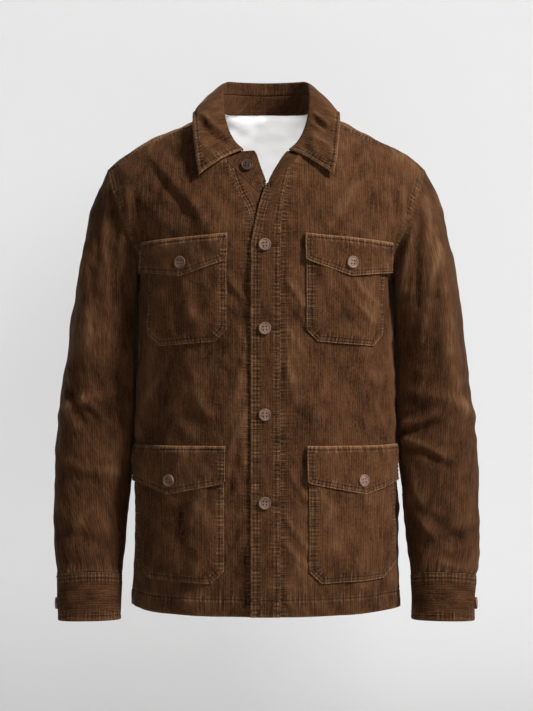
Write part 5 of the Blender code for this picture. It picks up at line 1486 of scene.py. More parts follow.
    def armhole_loop(self, count: int = 361) -> Callable[[Array], tuple[Array, Array, Array]]:
        """The armhole as a closed loop from the shoulder's top round the front.

        Args:
            count: places on the front's part and on the back's.

        Returns:
            A function of the turn in degrees, 90 in front and 180 at the armpit, that gives
            points, body normals and the directions in which the body's cloth leaves off.
        """
        front, back = FrontPanel(self.side), BackPanel()
        u_side = 0.0 if self.side is Side.RIGHT else 1.0
        inward = 0.002 if self.side is Side.RIGHT else -0.002
        parts = []
        down = np.linspace(1, front.chest_share + 1e-6, count)
        up = np.linspace(back.chest_share + 1e-6, 1, count)
        for panel, u, inner_u, v in ((front, 1.0, 0.998, down), (back, u_side, u_side + inward, up)):
            points = panel.plain(u, v)
            leaving = unit(points - panel.plain(inner_u, v))
            parts.append((points, panel.normals(np.full_like(v, u), v), leaving))
        points, normals, leaving = (np.vstack(pair) for pair in zip(*parts))
        run = run_of(np.vstack([points, points[:1]]))
        top = int(np.argmax(points[:, 2]))
        past = 360 * (run[-1] - run[top]) / run[-1]
        turns = np.interp(run, [0, run[count - 1], run[top], run[-1]], [past, 180, 360, 360 + past])

        def at(turn: Array) -> tuple[Array, Array, Array]:
            """Point, normal and leaving direction at a turn."""
            turn = (np.asarray(turn, float) - turns[0]) % 360 + turns[0]
            values = []
            for data in (points, normals, leaving):
                closed = np.vstack([data, data[:1]])
                values.append(np.stack([np.interp(turn, turns, closed[:, k]) for k in range(3)], axis=-1))
            return values[0], unit(values[1]), unit(values[2])

        return at

    def tube(self, turn: Array, z: Array, proud: float = 0.0) -> Array:
        """Point of the tube at a turn from its outer line towards the front, on the ring at z."""
        step = 0.004
        centre, ahead, behind = (np.stack([self.x(z + s), self.y(z + s), z + s], axis=-1)
                                 for s in (0, -step, step))
        axis = unit(ahead - behind)
        front = unit(np.array([0, -1.0, 0]) - axis * (-axis[..., 1:2]))
        out = np.cross(front, axis)
        out = out * np.sign(out[..., 0:1])
        radians = np.radians(turn)
        power = 2 / self.squareness
        cosine = np.sign(np.cos(radians)) * np.abs(np.cos(radians)) ** power
        sine = np.sign(np.sin(radians)) * np.abs(np.sin(radians)) ** power
        wide = np.where(cosine < 0, self.inner(z), 1.0)
        across = ((self.across(z) * wide + proud) * cosine)[..., None]
        depth = ((self.depth(z) + proud) * sine)[..., None]
        return (centre + out * across + front * depth) * np.array([self.side.value, 1, 1])

    def under_share(self, turn: Array) -> Array:
        """1 at the armpit, where the sleeve folds back along the body, and 0 over the shoulder."""
        near, far = self.underarm
        return smooth_step((far - np.abs(turn % 360 - 180)) / (far - near))

    def pressed(self, points: Array) -> Array:
        """Points kept outside the body's side, a clearance away from it."""
        z = points[..., 2]
        reach = np.abs(points[..., 0])
        blend = smooth_step((BODY.chest_z - z) / 0.010)
        limit = (BODY.reach_at(points[..., 1], z) + self.gap(z)) * blend
        # A soft maximum, so that no hard line shows where the sleeve comes off the body.
        soft = 0.003
        over = np.clip((reach - limit) / soft, -6, 30)
        kept = np.where(over > 6, reach, limit + soft * np.log1p(np.exp(over)))
        kept = np.where(blend > 0, np.maximum(kept * blend + reach * (1 - blend), reach), reach)
        return np.stack([self.side.value * kept, points[..., 1], z], axis=-1)

    def fold_height(self, turn: Array, share: Array) -> Array:
        """Sum of the sleeve's largest folds."""
        height = np.zeros(turn.shape)
        for turn0, along0, turn1, along1, width, rise in self.folds:
            across = self.radius * np.radians((turn - turn0 + 180) % 360 - 180)
            along = self.length * (share - along0)
            run = np.array([self.radius * math.radians(turn1 - turn0), self.length * (along1 - along0)])
            length = np.hypot(*run)
            forward = (across * run[0] + along * run[1]) / length
            sideways = (across * run[1] - along * run[0]) / length
            past = np.maximum(0, np.abs(forward - length / 2) - length / 2)
            height += rise * bump(sideways, width) * bump(past, 1.6 * width)
        return height * np.clip(share * 12, 0, 1)

    def surface(self, turn: Array, share: Array, with_folds: bool = True) -> Array:
        """Points at a turn in degrees and a share from the armhole to the cuff's seam."""
        turn, share = pair(turn, share)
        start, body_normal, leaving = self.loop(turn)
        top_z = self.rings[0][2]
        under = self.under_share(turn)[..., None]
        start = (start - leaving * (self.seam_overlap * (1 - under))
                 + body_normal * (self.underarm_gap * under))
        below_cap = np.clip((share - self.cap_share) / (1 - self.cap_share), 0, 1)
        low_z = top_z + (self.end_z - top_z) * below_cap
        ring = self.tube(turn, np.full_like(share, top_z))
        below = self.tube(turn, np.full_like(share, top_z - 0.01))
        t = np.clip(share / self.cap_share, 0, 1)[..., None]
        reach = np.linalg.norm(ring - start, axis=-1, keepdims=True)
        top_part = np.clip(np.cos(np.radians(turn)), 0, 1)[..., None] ** 0.7
        away = np.array([self.side.value * 1.0, 0, 0]) * (0.12 + (self.cap_lean - 0.12) * top_part)
        leave = unit(away + np.array([0, 0, -1.0])) * reach
        arrive = unit(below - ring) * reach
        cap = ((2 * t ** 3 - 3 * t ** 2 + 1) * start + (t ** 3 - 2 * t ** 2 + t) * leave
               + (3 * t ** 2 - 2 * t ** 3) * ring + (t ** 3 - t ** 2) * arrive)
        points = np.where(share[..., None] < self.cap_share, cap, self.tube(turn, low_z))
        if with_folds:
            away = points - np.stack([self.side.value * self.x(points[..., 2]), self.y(points[..., 2]),
                                      points[..., 2]], axis=-1)
            points = points + unit(away) * self.fold_height(turn, share)[..., None]
        return self.pressed(points)

    def cuff_surface(self, turn: Array, share: Array) -> Array:
        """Points of the cuff."""
        top = self.end_z - self.cuff_gap
        z = top + (self.rings[-1][2] - top) * np.clip(share, 0, 1)
        return self.tube(*pair(turn, z), self.cuff_proud)

    def tube_normals(self, surface: Surface, turn: Array, share: Array) -> Array:
        """Outward normals of a tube given by turn and share."""
        above, below = np.clip(share - SHARE_STEP, 0, 1), np.clip(share + SHARE_STEP, 0, 1)
        normals = unit(np.cross(surface(turn + 0.3, share) - surface(turn - 0.3, share),
                                surface(turn, below) - surface(turn, above)))
        points = surface(turn, share)
        # Over the shoulder the middle lies further in and lower than the first ring.
        z = points[..., 2]
        cap = smooth_step((z + 0.20) / 0.07)
        inner_x = self.side.value * (self.x(z) - 0.044 * cap)
        outward = points - np.stack([inner_x, self.y(z), z - 0.06 * cap], axis=-1)
        turned = np.sum(normals * outward, axis=-1, keepdims=True) < 0
        return np.where(turned, -normals, normals)

    def turns(self, surface: Surface, step: float) -> Array:
        """Turns of a tube's columns, from the underarm round the front and back to it."""
        rows = np.array([0.0, 0.2, 0.5, 0.9])[:, None]
        return -180 + 360 * grid_shares(lambda t: surface(-180 + 360 * t[None], rows), step)[:-1]

    def grain(self, points: Array, turns: Array) -> Array:
        """Grain of a tube, whose wales are parallel at its outer line, with one column more."""
        grain = grain_of(np.concatenate([points, points[:, :1]], axis=1), np.zeros(len(points)))
        middle = int(np.argmin(np.abs(turns)))
        grain[..., 0] -= grain[:, middle:middle + 1, 0]
        return grain

    def cloths(self) -> list[Cloth]:
        """The sleeve's sheet and the cuff's."""
        turns = self.turns(self.surface, 0.0043)
        down = grid_shares(lambda t: self.surface(np.arange(0, 360, 60.0)[:, None], t[None]), 0.0043, RIM)
        turn, share = np.meshgrid(turns, down)
        base = self.surface(turn, share)
        normals = self.tube_normals(lambda t, s: self.surface(t, s, False), turn, share)
        under = self.under_share(turns)[:, None]
        normals[0] = unit(self.loop(turns)[1] * (1 - under) + normals[1] * under)
        sleeve = Cloth("sleeve_" + self.side.word, base, normals, CLOTH, self.grain(base, turns),
                       self.sleeve_cut, rests_on=("front_" + self.side.word, "back"), closed=True)
        mirrored = np.abs(base[..., 0])
        in_front = smooth_step((0.15 - normals[..., 1] * 1.6))
        behind = smooth_step((normals[..., 1] * 1.6 - 0.15))
        wave = Unevenness(31 + self.side.value, 0.0011, 0.050, 0.120, 0.6)
        small = Unevenness(35 + self.side.value, 0.0004, 0.016, 0.040, 0.8)
        height = (1.1 * crease_height(base[..., 0], base[..., 2], self.creases[self.side]) * in_front
                  + crease_height(mirrored, base[..., 2], self.behind) * behind
                  + wave.at(base) + small.at(base))
        # Where the sleeve lies on the body it only sinks away from it.
        room = (mirrored - BODY.reach_at(base[..., 1], base[..., 2])) * (base[..., 2] < BODY.chest_z + 0.02)
        close = (np.cos(np.radians(turn)) < 0.25) & (room < 0.008) & (base[..., 2] < -0.215)
        height = np.where(close, np.minimum(height, 0) * 0.4, height)
        ends = tube_ends(base)
        sleeve.fold(held_share(base, ends) * height)
        # Painted highlight on the crests of the large folds and painted shade in their troughs.
        sleeve.wear += np.clip(self.fold_height(turn, share) / 0.012, -0.3, 0.3)
        seed = 80 + self.side.value
        shoulder = 1 - self.under_share(turn)
        sleeve.sew(ends[0], SLEEVE_HEAD, seed, shoulder)
        sleeve.sew(ends[1], SLEEVE_END, seed + 2)

        turns = self.turns(self.cuff_surface, 0.0024)
        down = grid_shares(lambda t: self.cuff_surface(np.arange(0, 360, 90.0)[:, None], t[None]),
                           0.0024, RIM)
        turn, share = np.meshgrid(turns, down)
        base = self.cuff_surface(turn, share)
        grain = self.grain(base, turns)[..., ::-1]
        normals = self.tube_normals(self.cuff_surface, turn, share)
        cuff = Cloth("cuff_" + self.side.word, base, normals, FACED_CLOTH, grain, self.cuff_cut,
                     Lay.LAID, ("sleeve_" + self.side.word,), closed=True)
        ends = tube_ends(base)
        wave = Unevenness(51 + self.side.value, 0.0005, 0.03, 0.08, 0.7)
        cuff.relief += wave.at(base) * held_share(base, ends, 0.006)
        cuff.sew(ends[0], CUFF_TOP, seed + 6)
        cuff.sew(ends[1], CUFF_HEM, seed + 8)
        return [sleeve, cuff]

    def button_place(self) -> tuple[Array, Array]:
        """Place and facing of the cuff's button."""
        z = np.array(self.button_z)
        place = self.tube(np.array(0.0), z, self.cuff_proud)
        centre = np.array([self.side.value * float(self.x(z)), float(self.y(z)), self.button_z])
        return place, unit(place - centre)


# ---- collar -------------------------------------------------------------------------

@dataclass
class Collar:
    """The stand round the neck and the fall that turns over outside it."""

    axis_y: float = -0.03
    # Turn in degrees from the centre back, then the stand's top, the fall's roll and its edge.
    half: tuple[tuple[float, tuple[float, ...], tuple[float, ...], tuple[float, ...]], ...] = (
        (0.0, (0.0000, 0.0720, 0.0600), (0.0000, 0.0755, 0.0805), (0.0000, 0.1080, 0.0070)),
        (22.4, (0.0350, 0.0655, 0.0600), (0.0360, 0.0690, 0.0803), (0.0560, 0.0960, 0.0080)),
        (40.2, (0.0550, 0.0500, 0.0590), (0.0565, 0.0540, 0.0790), (0.0930, 0.0680, 0.0120)),
        (64.2, (0.0670, 0.0190, 0.0530), (0.0655, 0.0210, 0.0690), (0.1080, 0.0240, 0.0175)),
        (92.1, (0.0690, -0.0150, 0.0380), (0.0655, -0.0170, 0.0480), (0.1090, -0.0200, 0.0165)),
        (114.2, (0.0650, -0.0460, 0.0060), (0.0625, -0.0510, 0.0130), (0.1085, -0.0620, -0.0020)),
        (127.7, (0.0570, -0.0635, -0.0200), (0.0560, -0.0690, -0.0130), (0.1055, -0.0890, -0.0300)),
        (137.5, (0.0465, -0.0760, -0.0390), (0.0462, -0.0825, -0.0325), (0.1020, -0.1060, -0.0590)),
        (145.6, (0.0345, -0.0850, -0.0462), (0.0336, -0.0900, -0.0455), (0.0972, -0.1160, -0.0850)))
    right_end: Rows = ((152.5, 0.0300, -0.0905, -0.0466), (161.0, 0.0185, -0.0955, -0.0463),
                       (162.5, 0.0160, -0.0965, -0.0484), (171.0, 0.0078, -0.1030, -0.0712),
                       (180.0, 0.0000, -0.1085, -0.0935))
    left_end: Rows = ((152.5, 0.0304, -0.0885, -0.0466), (158.0, 0.0252, -0.0925, -0.0525),
                      (165.0, 0.0180, -0.0990, -0.0640), (171.6, 0.0108, -0.1045, -0.0765),
                      (178.0, 0.0050, -0.1095, -0.0895))
    crest: float = 0.014
    crest_share: float = 0.10
    belly: float = 0.0140
    belly_share: float = 0.62
    start_rise: float = 0.0006
    step: float = 0.0024
    stand_cut: Cut = Cut(0.480, 0.060, 0.0167)
    fall_cut: Cut = Cut(0.597, 0.104, 0.0519)
    button_clear: float = 0.0013
    button_at: tuple[float, float, float] = (-0.0266, -0.1050, -0.0699)
    creases: Creases = crease_rows(
        (-92, -4, -60.6, -30, 6, -3.8, 3), (-90, 8, -64, -12, 5.5, 2.2, 3),
        (-95, -35, -70, -55, 6, 1.6, 2), (65.3, 20.9, 87.7, -1.5, 3.6, 2.4, 1),
        (61, 13, 83, -9, 3.6, -2, 1), (60, 6, 80, -15, 3.6, 2, 1),
        (72, -30, 95, -48, 6.5, 2.6, -3), (56, -40, 80, -65, 5.5, -2.2, 2))

    def turn_of(self, points: Array) -> Array:
        """Degrees about the neck's axis, from the centre back to either side of the front."""
        return np.degrees(np.arctan2(np.abs(points[..., 0]), points[..., 1] - self.axis_y))

    def curve(self, column: int, end: Rows = ()) -> Callable[[Array, Array], Array]:
        """A column of the table as a smooth function of the turn and the side."""
        half = [(row[0], row[column]) for row in self.half]
        turn, (x, y, z) = half[1]
        rows = [(-turn, (-x, y, z))] + half + [(row[0], row[1:]) for row in end]
        axes = [smooth_curve([turn for turn, _ in rows], [place[k] for _, place in rows]) for k in range(3)]

        def value(turn: Array, side: Array) -> Array:
            """Point at a turn on a side."""
            points = np.stack([axis(turn) for axis in axes], axis=-1)
            return points * np.stack([side, np.ones_like(side), np.ones_like(side)], axis=-1)

        return value

    def neck_seam(self) -> tuple[Array, Array, Array]:
        """The line where the stand meets the panels, from its right end to its left end.

        Returns:
            Points, the panels' outward normals, and the side that each belongs to.
        """
        parts = []
        for side in Side:
            band = FrontBand.button_side() if side is Side.RIGHT else FrontBand.buttonhole_side()
            panel = FrontPanel(side)
            places = np.linspace(1, 0.02, 24)
            ones = np.ones_like(places)
            rows = np.linspace(panel.corner_share, 1, 60)[1:-1]
            zero = np.zeros_like(rows)
            parts.append((np.vstack([band.surface(places, ones), panel.surface(zero, rows)]),
                          np.vstack([band.normals(places, ones), panel.normals(zero, rows)])))
        back = BackPanel()
        columns = np.linspace(0.5 - back.neck_share / 2, 0.5 + back.neck_share / 2, 121)
        ones = np.ones_like(columns)
        (right, right_n), (left, left_n) = parts
        points = np.vstack([right, back.surface(columns, ones), left[::-1]])
        normals = np.vstack([right_n, back.normals(columns, ones), left_n[::-1]])
        side = np.concatenate([np.full(len(right) + 60, -1.0), np.full(61 + len(left), 1.0)])
        run = run_of(points)
        marks = np.linspace(0, run[-1], int(run[-1] / self.step) + 1)
        rim = np.array(RIM)
        marks = np.unique(np.concatenate([marks, rim, run[-1] - rim]))
        points, normals = (np.stack([np.interp(marks, run, data[:, k]) for k in range(3)], -1)
                           for data in (points, normals))
        weights = np.exp(-((marks[:, None] - marks[None]) / 0.004) ** 2)
        weights /= weights.sum(axis=1, keepdims=True)
        edge = np.minimum(marks, marks[-1] - marks)[:, None]
        share = smooth_step(edge / 0.010)
        points = points * (1 - share) + (weights @ points) * share
        return points, unit(weights @ normals), np.sign(np.interp(marks, run, side) + 1e-9)

    def stand(self) -> Cloth:
        """The stand's sheet."""
        seam, seam_normals, side = self.neck_seam()
        turn = self.turn_of(seam)
        right, left = self.curve(1, self.right_end)(turn, side), self.curve(1, self.left_end)(turn, side)
        top = np.where(side[:, None] < 0, right, left)
        leaving = unit(np.cross(seam_normals, np.gradient(seam, axis=0)))
        leaving = np.where(np.sum(leaving * (top - seam), axis=-1, keepdims=True) < 0, -leaving, leaving)
        base = seam + leaving * SEAM_GAP
        levels = np.concatenate([[0, 0.015, 0.04, 0.08], np.linspace(0.13, 0.87, 11),
                                 [0.92, 0.96, 0.985, 1]])
        outer = np.stack([base + (top - base) * level for level in levels])
        normals = unit(np.cross(np.gradient(outer, axis=1), np.gradient(outer, axis=0)))
        outward = np.sum(normals * away_from_axis(outer), axis=-1, keepdims=True) < 0
        normals = np.where(outward, -normals, normals)
        normals[0] = seam_normals
        i, j = np.unravel_index(np.argmin(np.linalg.norm(outer - self.button_at, axis=-1)), outer.shape[:2])
        self.button = outer[i, j] + normals[i, j] * self.button_clear, normals[i, j]
        grain = grain_of(outer, np.zeros(len(outer)))
        cloth = Cloth("collar_stand", outer, normals, FACED_CLOTH, grain, self.stand_cut, Lay.LAID,
                      ("back", "front_right", "front_left"), slot=Slot.INSIDE)
        # Its rows of stitches lie on the side away from the neck.
        cloth.sew(outer[-1], STAND_TOP, 91)
        cloth.sew(outer[0], STAND_FOOT, 92)
        cloth.sew(outer[:, 0], STAND_END, 93)
        cloth.sew(outer[:, -1], STAND_END, 94)
        return cloth

    def fall_line(self, turns: Array, sides: Array, t: Array) -> Array:
        """Points of the fall's middle at turns and at shares from the roll to the edge."""
        roll, edge = (self.curve(column)(turns, sides) for column in (2, 3))
        start = self.curve(1)(turns, sides)
        out = unit(away_from_axis((start + edge) / 2))
        crest = roll + out * self.crest + (edge - roll) * self.crest_share
        belly = roll + out * self.belly + (edge - roll) * self.belly_share
        start = start - unit(away_from_axis(start)) * FACED_CLOTH / 2 + np.array([0, 0, self.start_rise])
        down = np.clip(t, 0, 1)[:, None, None]
        turned = ((1 - down) ** 3 * roll + 3 * down * (1 - down) ** 2 * crest
                  + 3 * down ** 2 * (1 - down) * belly + down ** 3 * edge)
        rise = (1 + np.clip(t, -1, 0))[:, None, None]
        return np.where(t[:, None, None] < 0, start + (roll - start) * rise, turned)

    def fall(self) -> Cloth:
        """The fall's sheet, from inside the stand's top over the roll to its points."""
        last = self.half[-1][0]

        def ring(share: Array) -> Array:
            """Lines round the fall at shares from its right end to its left."""
            places = (2 * share - 1) * last
            return self.fall_line(np.abs(places), np.where(places < 0, -1.0, 1.0),
                                  np.array([0.0, 0.5, 1.0]))

        shares = grid_shares(ring, self.step, RIM + (0.005, 0.0065))
        places = (2 * shares - 1) * last
        sides = np.where(places < 0, -1.0, 1.0)
        angles = np.array([0.0, 60, 120, 145])
        down = grid_shares(lambda t: np.swapaxes(self.fall_line(angles, np.ones(4), t), 0, 1),
                           self.step, (0.0,))
        from_edge = 1 - np.array(RIM + (0.005, 0.0065)) / 0.085
        levels = np.unique(np.round(np.concatenate([np.linspace(-1, 0, 9), down, from_edge]), 5))
        middle = self.fall_line(np.abs(places), sides, levels)
        middle[:, :, 0] = np.where(np.abs(places) < 1e-9, 0, middle[:, :, 0])
        normals = unit(np.cross(np.gradient(middle, axis=1), np.gradient(middle, axis=0)))
        outer = middle + FACED_CLOTH / 2 * normals
        grain = grain_of(middle[len(levels) // 3][None].repeat(len(levels), 0), np.zeros(len(levels)))
        heights = np.linalg.norm(np.diff(middle, axis=0), axis=-1)
        grain[1:, :, 1] = np.cumsum(heights, axis=0)
        cloth = Cloth("collar_fall", outer, normals, FACED_CLOTH, grain, self.fall_cut, Lay.FOLDED,
                      ("collar_stand",))
        out = smooth_step(levels * 3)[:, None]
        wave = Unevenness(95, 0.0007, 0.030, 0.080, 0.8)
        cloth.fold(out * (1.4 * crease_height(outer[..., 0], outer[..., 2], self.creases)
                          * smooth_step(-outer[..., 1] / 0.02)
                          + wave.at(outer) * smooth_step(cloth.rim_distance() / 0.01)))
        # Painted shade on the part of the fall that is tucked inside the stand.
        cloth.wear -= 0.4 * smooth_step(-levels * 6)[:, None]
        on_leaf = np.broadcast_to(smooth_step(levels * 12 + 0.2)[:, None], outer.shape[:2])
        cloth.sew(three_sides(outer[levels >= 0]), FALL_EDGE, 96, on_leaf)
        cloth.sew(outer[0], FALL_ROOT, 97, (levels < 0)[:, None] * np.ones(outer.shape[:2]))
        return cloth


# ---- pockets and flaps --------------------------------------------------------------

def rim_shares(length: float, step: float, at_both_ends: bool = True) -> Array:
    """Shares of a length about a step apart, closer beside the rim at 0 and, if so told, at 1."""
    rims = np.array(RIM + (0.0070,)) / length
    far_rims = 1 - rims if at_both_ends else rims
    return np.unique(np.concatenate([np.linspace(0, 1, int(length / step)), rims, far_rims]))


def across_places(inner_x: float, outer_x: float, z: float, shares: Array) -> Array:
    """x places between two edges at shares of the way round the body at height z."""
    fine = np.linspace(inner_x, outer_x, 200)
    run = run_of(np.stack([fine, BODY.front_y(fine, np.full_like(fine, z))], axis=-1))
    return np.interp(np.asarray(shares) * run[-1], run, fine)


def on_front(side: Side, x: Array, z: Array, gap: Array, thickness: float) -> tuple[Array, Array]:
    """Outer points and normals of cloth that lies on a front, which already has its creases.

    Args:
        side: which front.
        x: distance from the middle plane.
        z: height.
        gap: how far the cloth's inner face stands off the front.
        thickness: of the cloth.

    Returns:
        Points of the outer face and outward normals.
    """
    points = BODY.front_point(side.value * x, z)
    normals = BODY.front_normal(side.value * x, z)
    height = DRAPE.height(points, False) + gap + thickness
    return points + normals * height[..., None], normals


@dataclass
class PatchPocket:
    """A patch pocket with two cut lower corners, sewn on round its sides and bottom."""

    name: str
    inner_x: float
    outer_x: float
    top: tuple[float, float]
    low: tuple[float, float]
    chamfer: float
    cut: Cut
    fullness: float = 0.0016
    creases: dict[Side, Creases] = field(default_factory=dict)
    step: float = 0.0022

    @staticmethod
    def breast() -> "PatchPocket":
        """The pocket on the chest."""
        return PatchPocket("breast_pocket", 0.0571, 0.1715, (-0.1840, -0.1930), (-0.3258, -0.3321), 0.017,
                           Cut(0.124, 0.148, 0.0176), creases={
            Side.RIGHT: crease_rows((-115, -250, -98, -305, 8, 1, 4),
                         (-150, -255, -140, -300, 7, 1, -3)),
            Side.LEFT: crease_rows((111, -238, 152, -295, 5, 1.6, 3),
                        (100, -260, 135, -310, 5.5, -1.2, 3), (130, -240, 160, -270, 4.5, 1.2, 2))})

    @staticmethod
    def lower() -> "PatchPocket":
        """The larger pocket below the waist."""
        return PatchPocket("lower_pocket", 0.0608, 0.1890, (-0.4900, -0.4910), (-0.6727, -0.6710), 0.018,
                           Cut(0.150, 0.183, 0.0268), creases={
            Side.RIGHT: crease_rows((-100, -560, -115, -630, 9, 1.2, 4),
                         (-160, -565, -150, -620, 8, 1, 3)),
            Side.LEFT: crease_rows((90, -565, 110, -635, 9, 1.2, 4),
                        (145, -560, 162, -625, 8, 1.2, 3))})

    def cloth(self, side: Side) -> Cloth:
        """The pocket's sheet on one side."""
        length = self.top[0] - self.low[0]
        width = self.outer_x - self.inner_x
        x = across_places(self.inner_x, self.outer_x, (self.top[0] + self.low[0]) / 2,
                          rim_shares(width, self.step))
        share, row = np.meshgrid((x - x[0]) / (x[-1] - x[0]), rim_shares(length, self.step))
        top = self.top[0] + (self.top[1] - self.top[0]) * share
        low = self.low[0] + (self.low[1] - self.low[0]) * share
        cut = self.chamfer / length
        squeeze = np.clip((row - (1 - cut)) / cut, 0, 1) * self.chamfer / width
        across = self.inner_x + width * (squeeze + share * (1 - 2 * squeeze))
        z = top + (low - top) * row
        flat = np.stack([across, np.zeros_like(z), z], axis=-1)
        inside = smooth_step(nearest(three_sides(flat), flat)[0] / 0.014)
        gap = 0.0005 + 0.0009 * inside
        base, normals = on_front(side, across, z, gap, CLOTH)
        grain = np.stack([across * side.value, -z], axis=-1)
        cloth = Cloth(f"{self.name}_{side.word}", base, normals, CLOTH, grain, self.cut, Lay.LAID,
                      ("front_" + side.word,))
        own = Unevenness(101 + side.value + len(self.name), 0.0006, 0.03, 0.08, 0.7)
        cloth.relief += inside * self.fullness
        cloth.fold(inside * (1.3 * own.at(base)
                             + 1.5 * crease_height(base[..., 0], base[..., 2], self.creases.get(side, ()))))
        # Painted highlight and shade that follow the front's creases under the pocket.
        cloth.wear += np.clip(DRAPE.height(base, False) / 0.012, -0.2, 0.2)
        cloth.sew(three_sides(base), POCKET_EDGE, 110 + 3 * side.value + len(self.name))
        # Painted shade at the pocket's top, under the flap.
        cloth.wear -= 0.25 * bump(row * length, 0.03)
        return cloth


@dataclass
class Flap:
    """A flap sewn on along its top, hanging to a point, with a button through it."""

    name: str
    inner_x: float
    outer_x: float
    top: tuple[float, float]
    low: tuple[float, float]
    tip: tuple[float, float]
    button: tuple[float, float]
    cut: Cut
    corner: tuple[float, float] = (0.006, 0.004)
    rise_length: float = 0.010
    gaps: tuple[float, float] = (0.0008, 0.0042)
    step: float = 0.0019

    @staticmethod
    def breast() -> "Flap":
        """The flap over the breast pocket."""
        return Flap("breast_flap", 0.0553, 0.1830, (-0.1703, -0.1796), (-0.2071, -0.2235),
                    (0.1215, -0.2310), (0.1235, -0.2113), Cut(0.140, 0.062, 0.0072))

    @staticmethod
    def lower() -> "Flap":
        """The flap over the lower pocket."""
        return Flap("lower_flap", 0.0581, 0.1925, (-0.4751, -0.4768), (-0.5260, -0.5310), (0.1415, -0.5465),
                    (0.1402, -0.5262), Cut(0.158, 0.072, 0.0104))

    def cloth(self, side: Side) -> Cloth:
        """The flap's sheet on one side."""
        length = self.top[0] - self.tip[1]
        u = rim_shares(0.5 * (self.outer_x - self.inner_x), self.step, False)
        to_tip = across_places(self.inner_x, self.tip[0], self.top[0], u)
        from_tip = across_places(self.tip[0], self.outer_x, self.top[0], 1 - u[::-1])
        x = np.concatenate([to_tip, from_tip[1:]])
        top = np.interp(x, [self.inner_x, self.outer_x], self.top)
        low = np.interp(x, [self.inner_x, self.inner_x + self.corner[0], self.tip[0], self.outer_x],
                        [self.low[0], self.low[0] - self.corner[1], self.tip[1], self.low[1]])
        row, top = np.meshgrid(rim_shares(length, self.step), top, indexing="ij")
        z = top + (low - top) * row
        x = np.broadcast_to(x, z.shape)
        gap = self.gaps[0] + (self.gaps[1] - self.gaps[0]) * smooth_step((top - z) / self.rise_length)
        base, normals = on_front(side, x, z, gap, FACED_CLOTH)
        grain = np.stack([x * side.value, -z], axis=-1)
        cloth = Cloth(f"{self.name}_{side.word}", base, normals, FACED_CLOTH, grain, self.cut, Lay.LAID,
                      (f"{self.name.split('_')[0]}_pocket_{side.word}", "front_" + side.word))
        own = Unevenness(131 + side.value + len(self.name), 0.0005, 0.025, 0.07, 0.8)
        inside = smooth_step(cloth.rim_distance() / 0.008)
        cloth.relief += 0.0006 * inside
        cloth.fold(inside * 1.3 * own.at(base))
        cloth.wear += 0.08
        seed = 140 + 3 * side.value + len(self.name)
        cloth.sew(base[0], FLAP_SEAM, seed)
        cloth.sew(three_sides(base), FLAP_EDGE, seed + 2, smooth_step((top - z) / 0.006))
        return cloth


# ---- buttons and buttonholes --------------------------------------------------------

def select_faces(item: bpy.types.Object, chosen: Callable[[bpy.types.MeshPolygon], bool]) -> None:
    """In edit mode, selects only the faces that are chosen."""
    bpy.ops.mesh.select_mode(type="FACE")
    bpy.ops.mesh.select_all(action="DESELECT")
    bpy.ops.object.mode_set(mode="OBJECT")
    for face in item.data.polygons:
        face.select = bool(chosen(face))
    bpy.ops.object.mode_set(mode="EDIT")


def frame_at(normal: Array, spin: float = 0.0) -> Array:
    """Sideways, up and outward unit vectors on a surface, turned by spin degrees."""
    normal = unit(np.asarray(normal, float))
    side = unit(np.cross(np.array([0, 0, 1.0]), -normal))
    up = np.cross(normal, side)
    c, s = math.cos(math.radians(spin)), math.sin(math.radians(spin))
    return np.stack([c * side + s * up, c * up - s * side, normal])


def place_copy(model: bpy.types.Object, name: str, place: Array, axes: Array) -> bpy.types.Object:
    """A copy of a model with its own mesh, its place in the mesh."""
    mesh = model.data.copy()
    mesh.name = name
    turned = Matrix([[axes[col][row] for col in range(3)] for row in range(3)]).to_4x4()
    mesh.transform(Matrix.Translation(Vector(place)) @ turned)
    item = bpy.data.objects.new(name, mesh)
    bpy.context.scene.collection.objects.link(item)
    return item


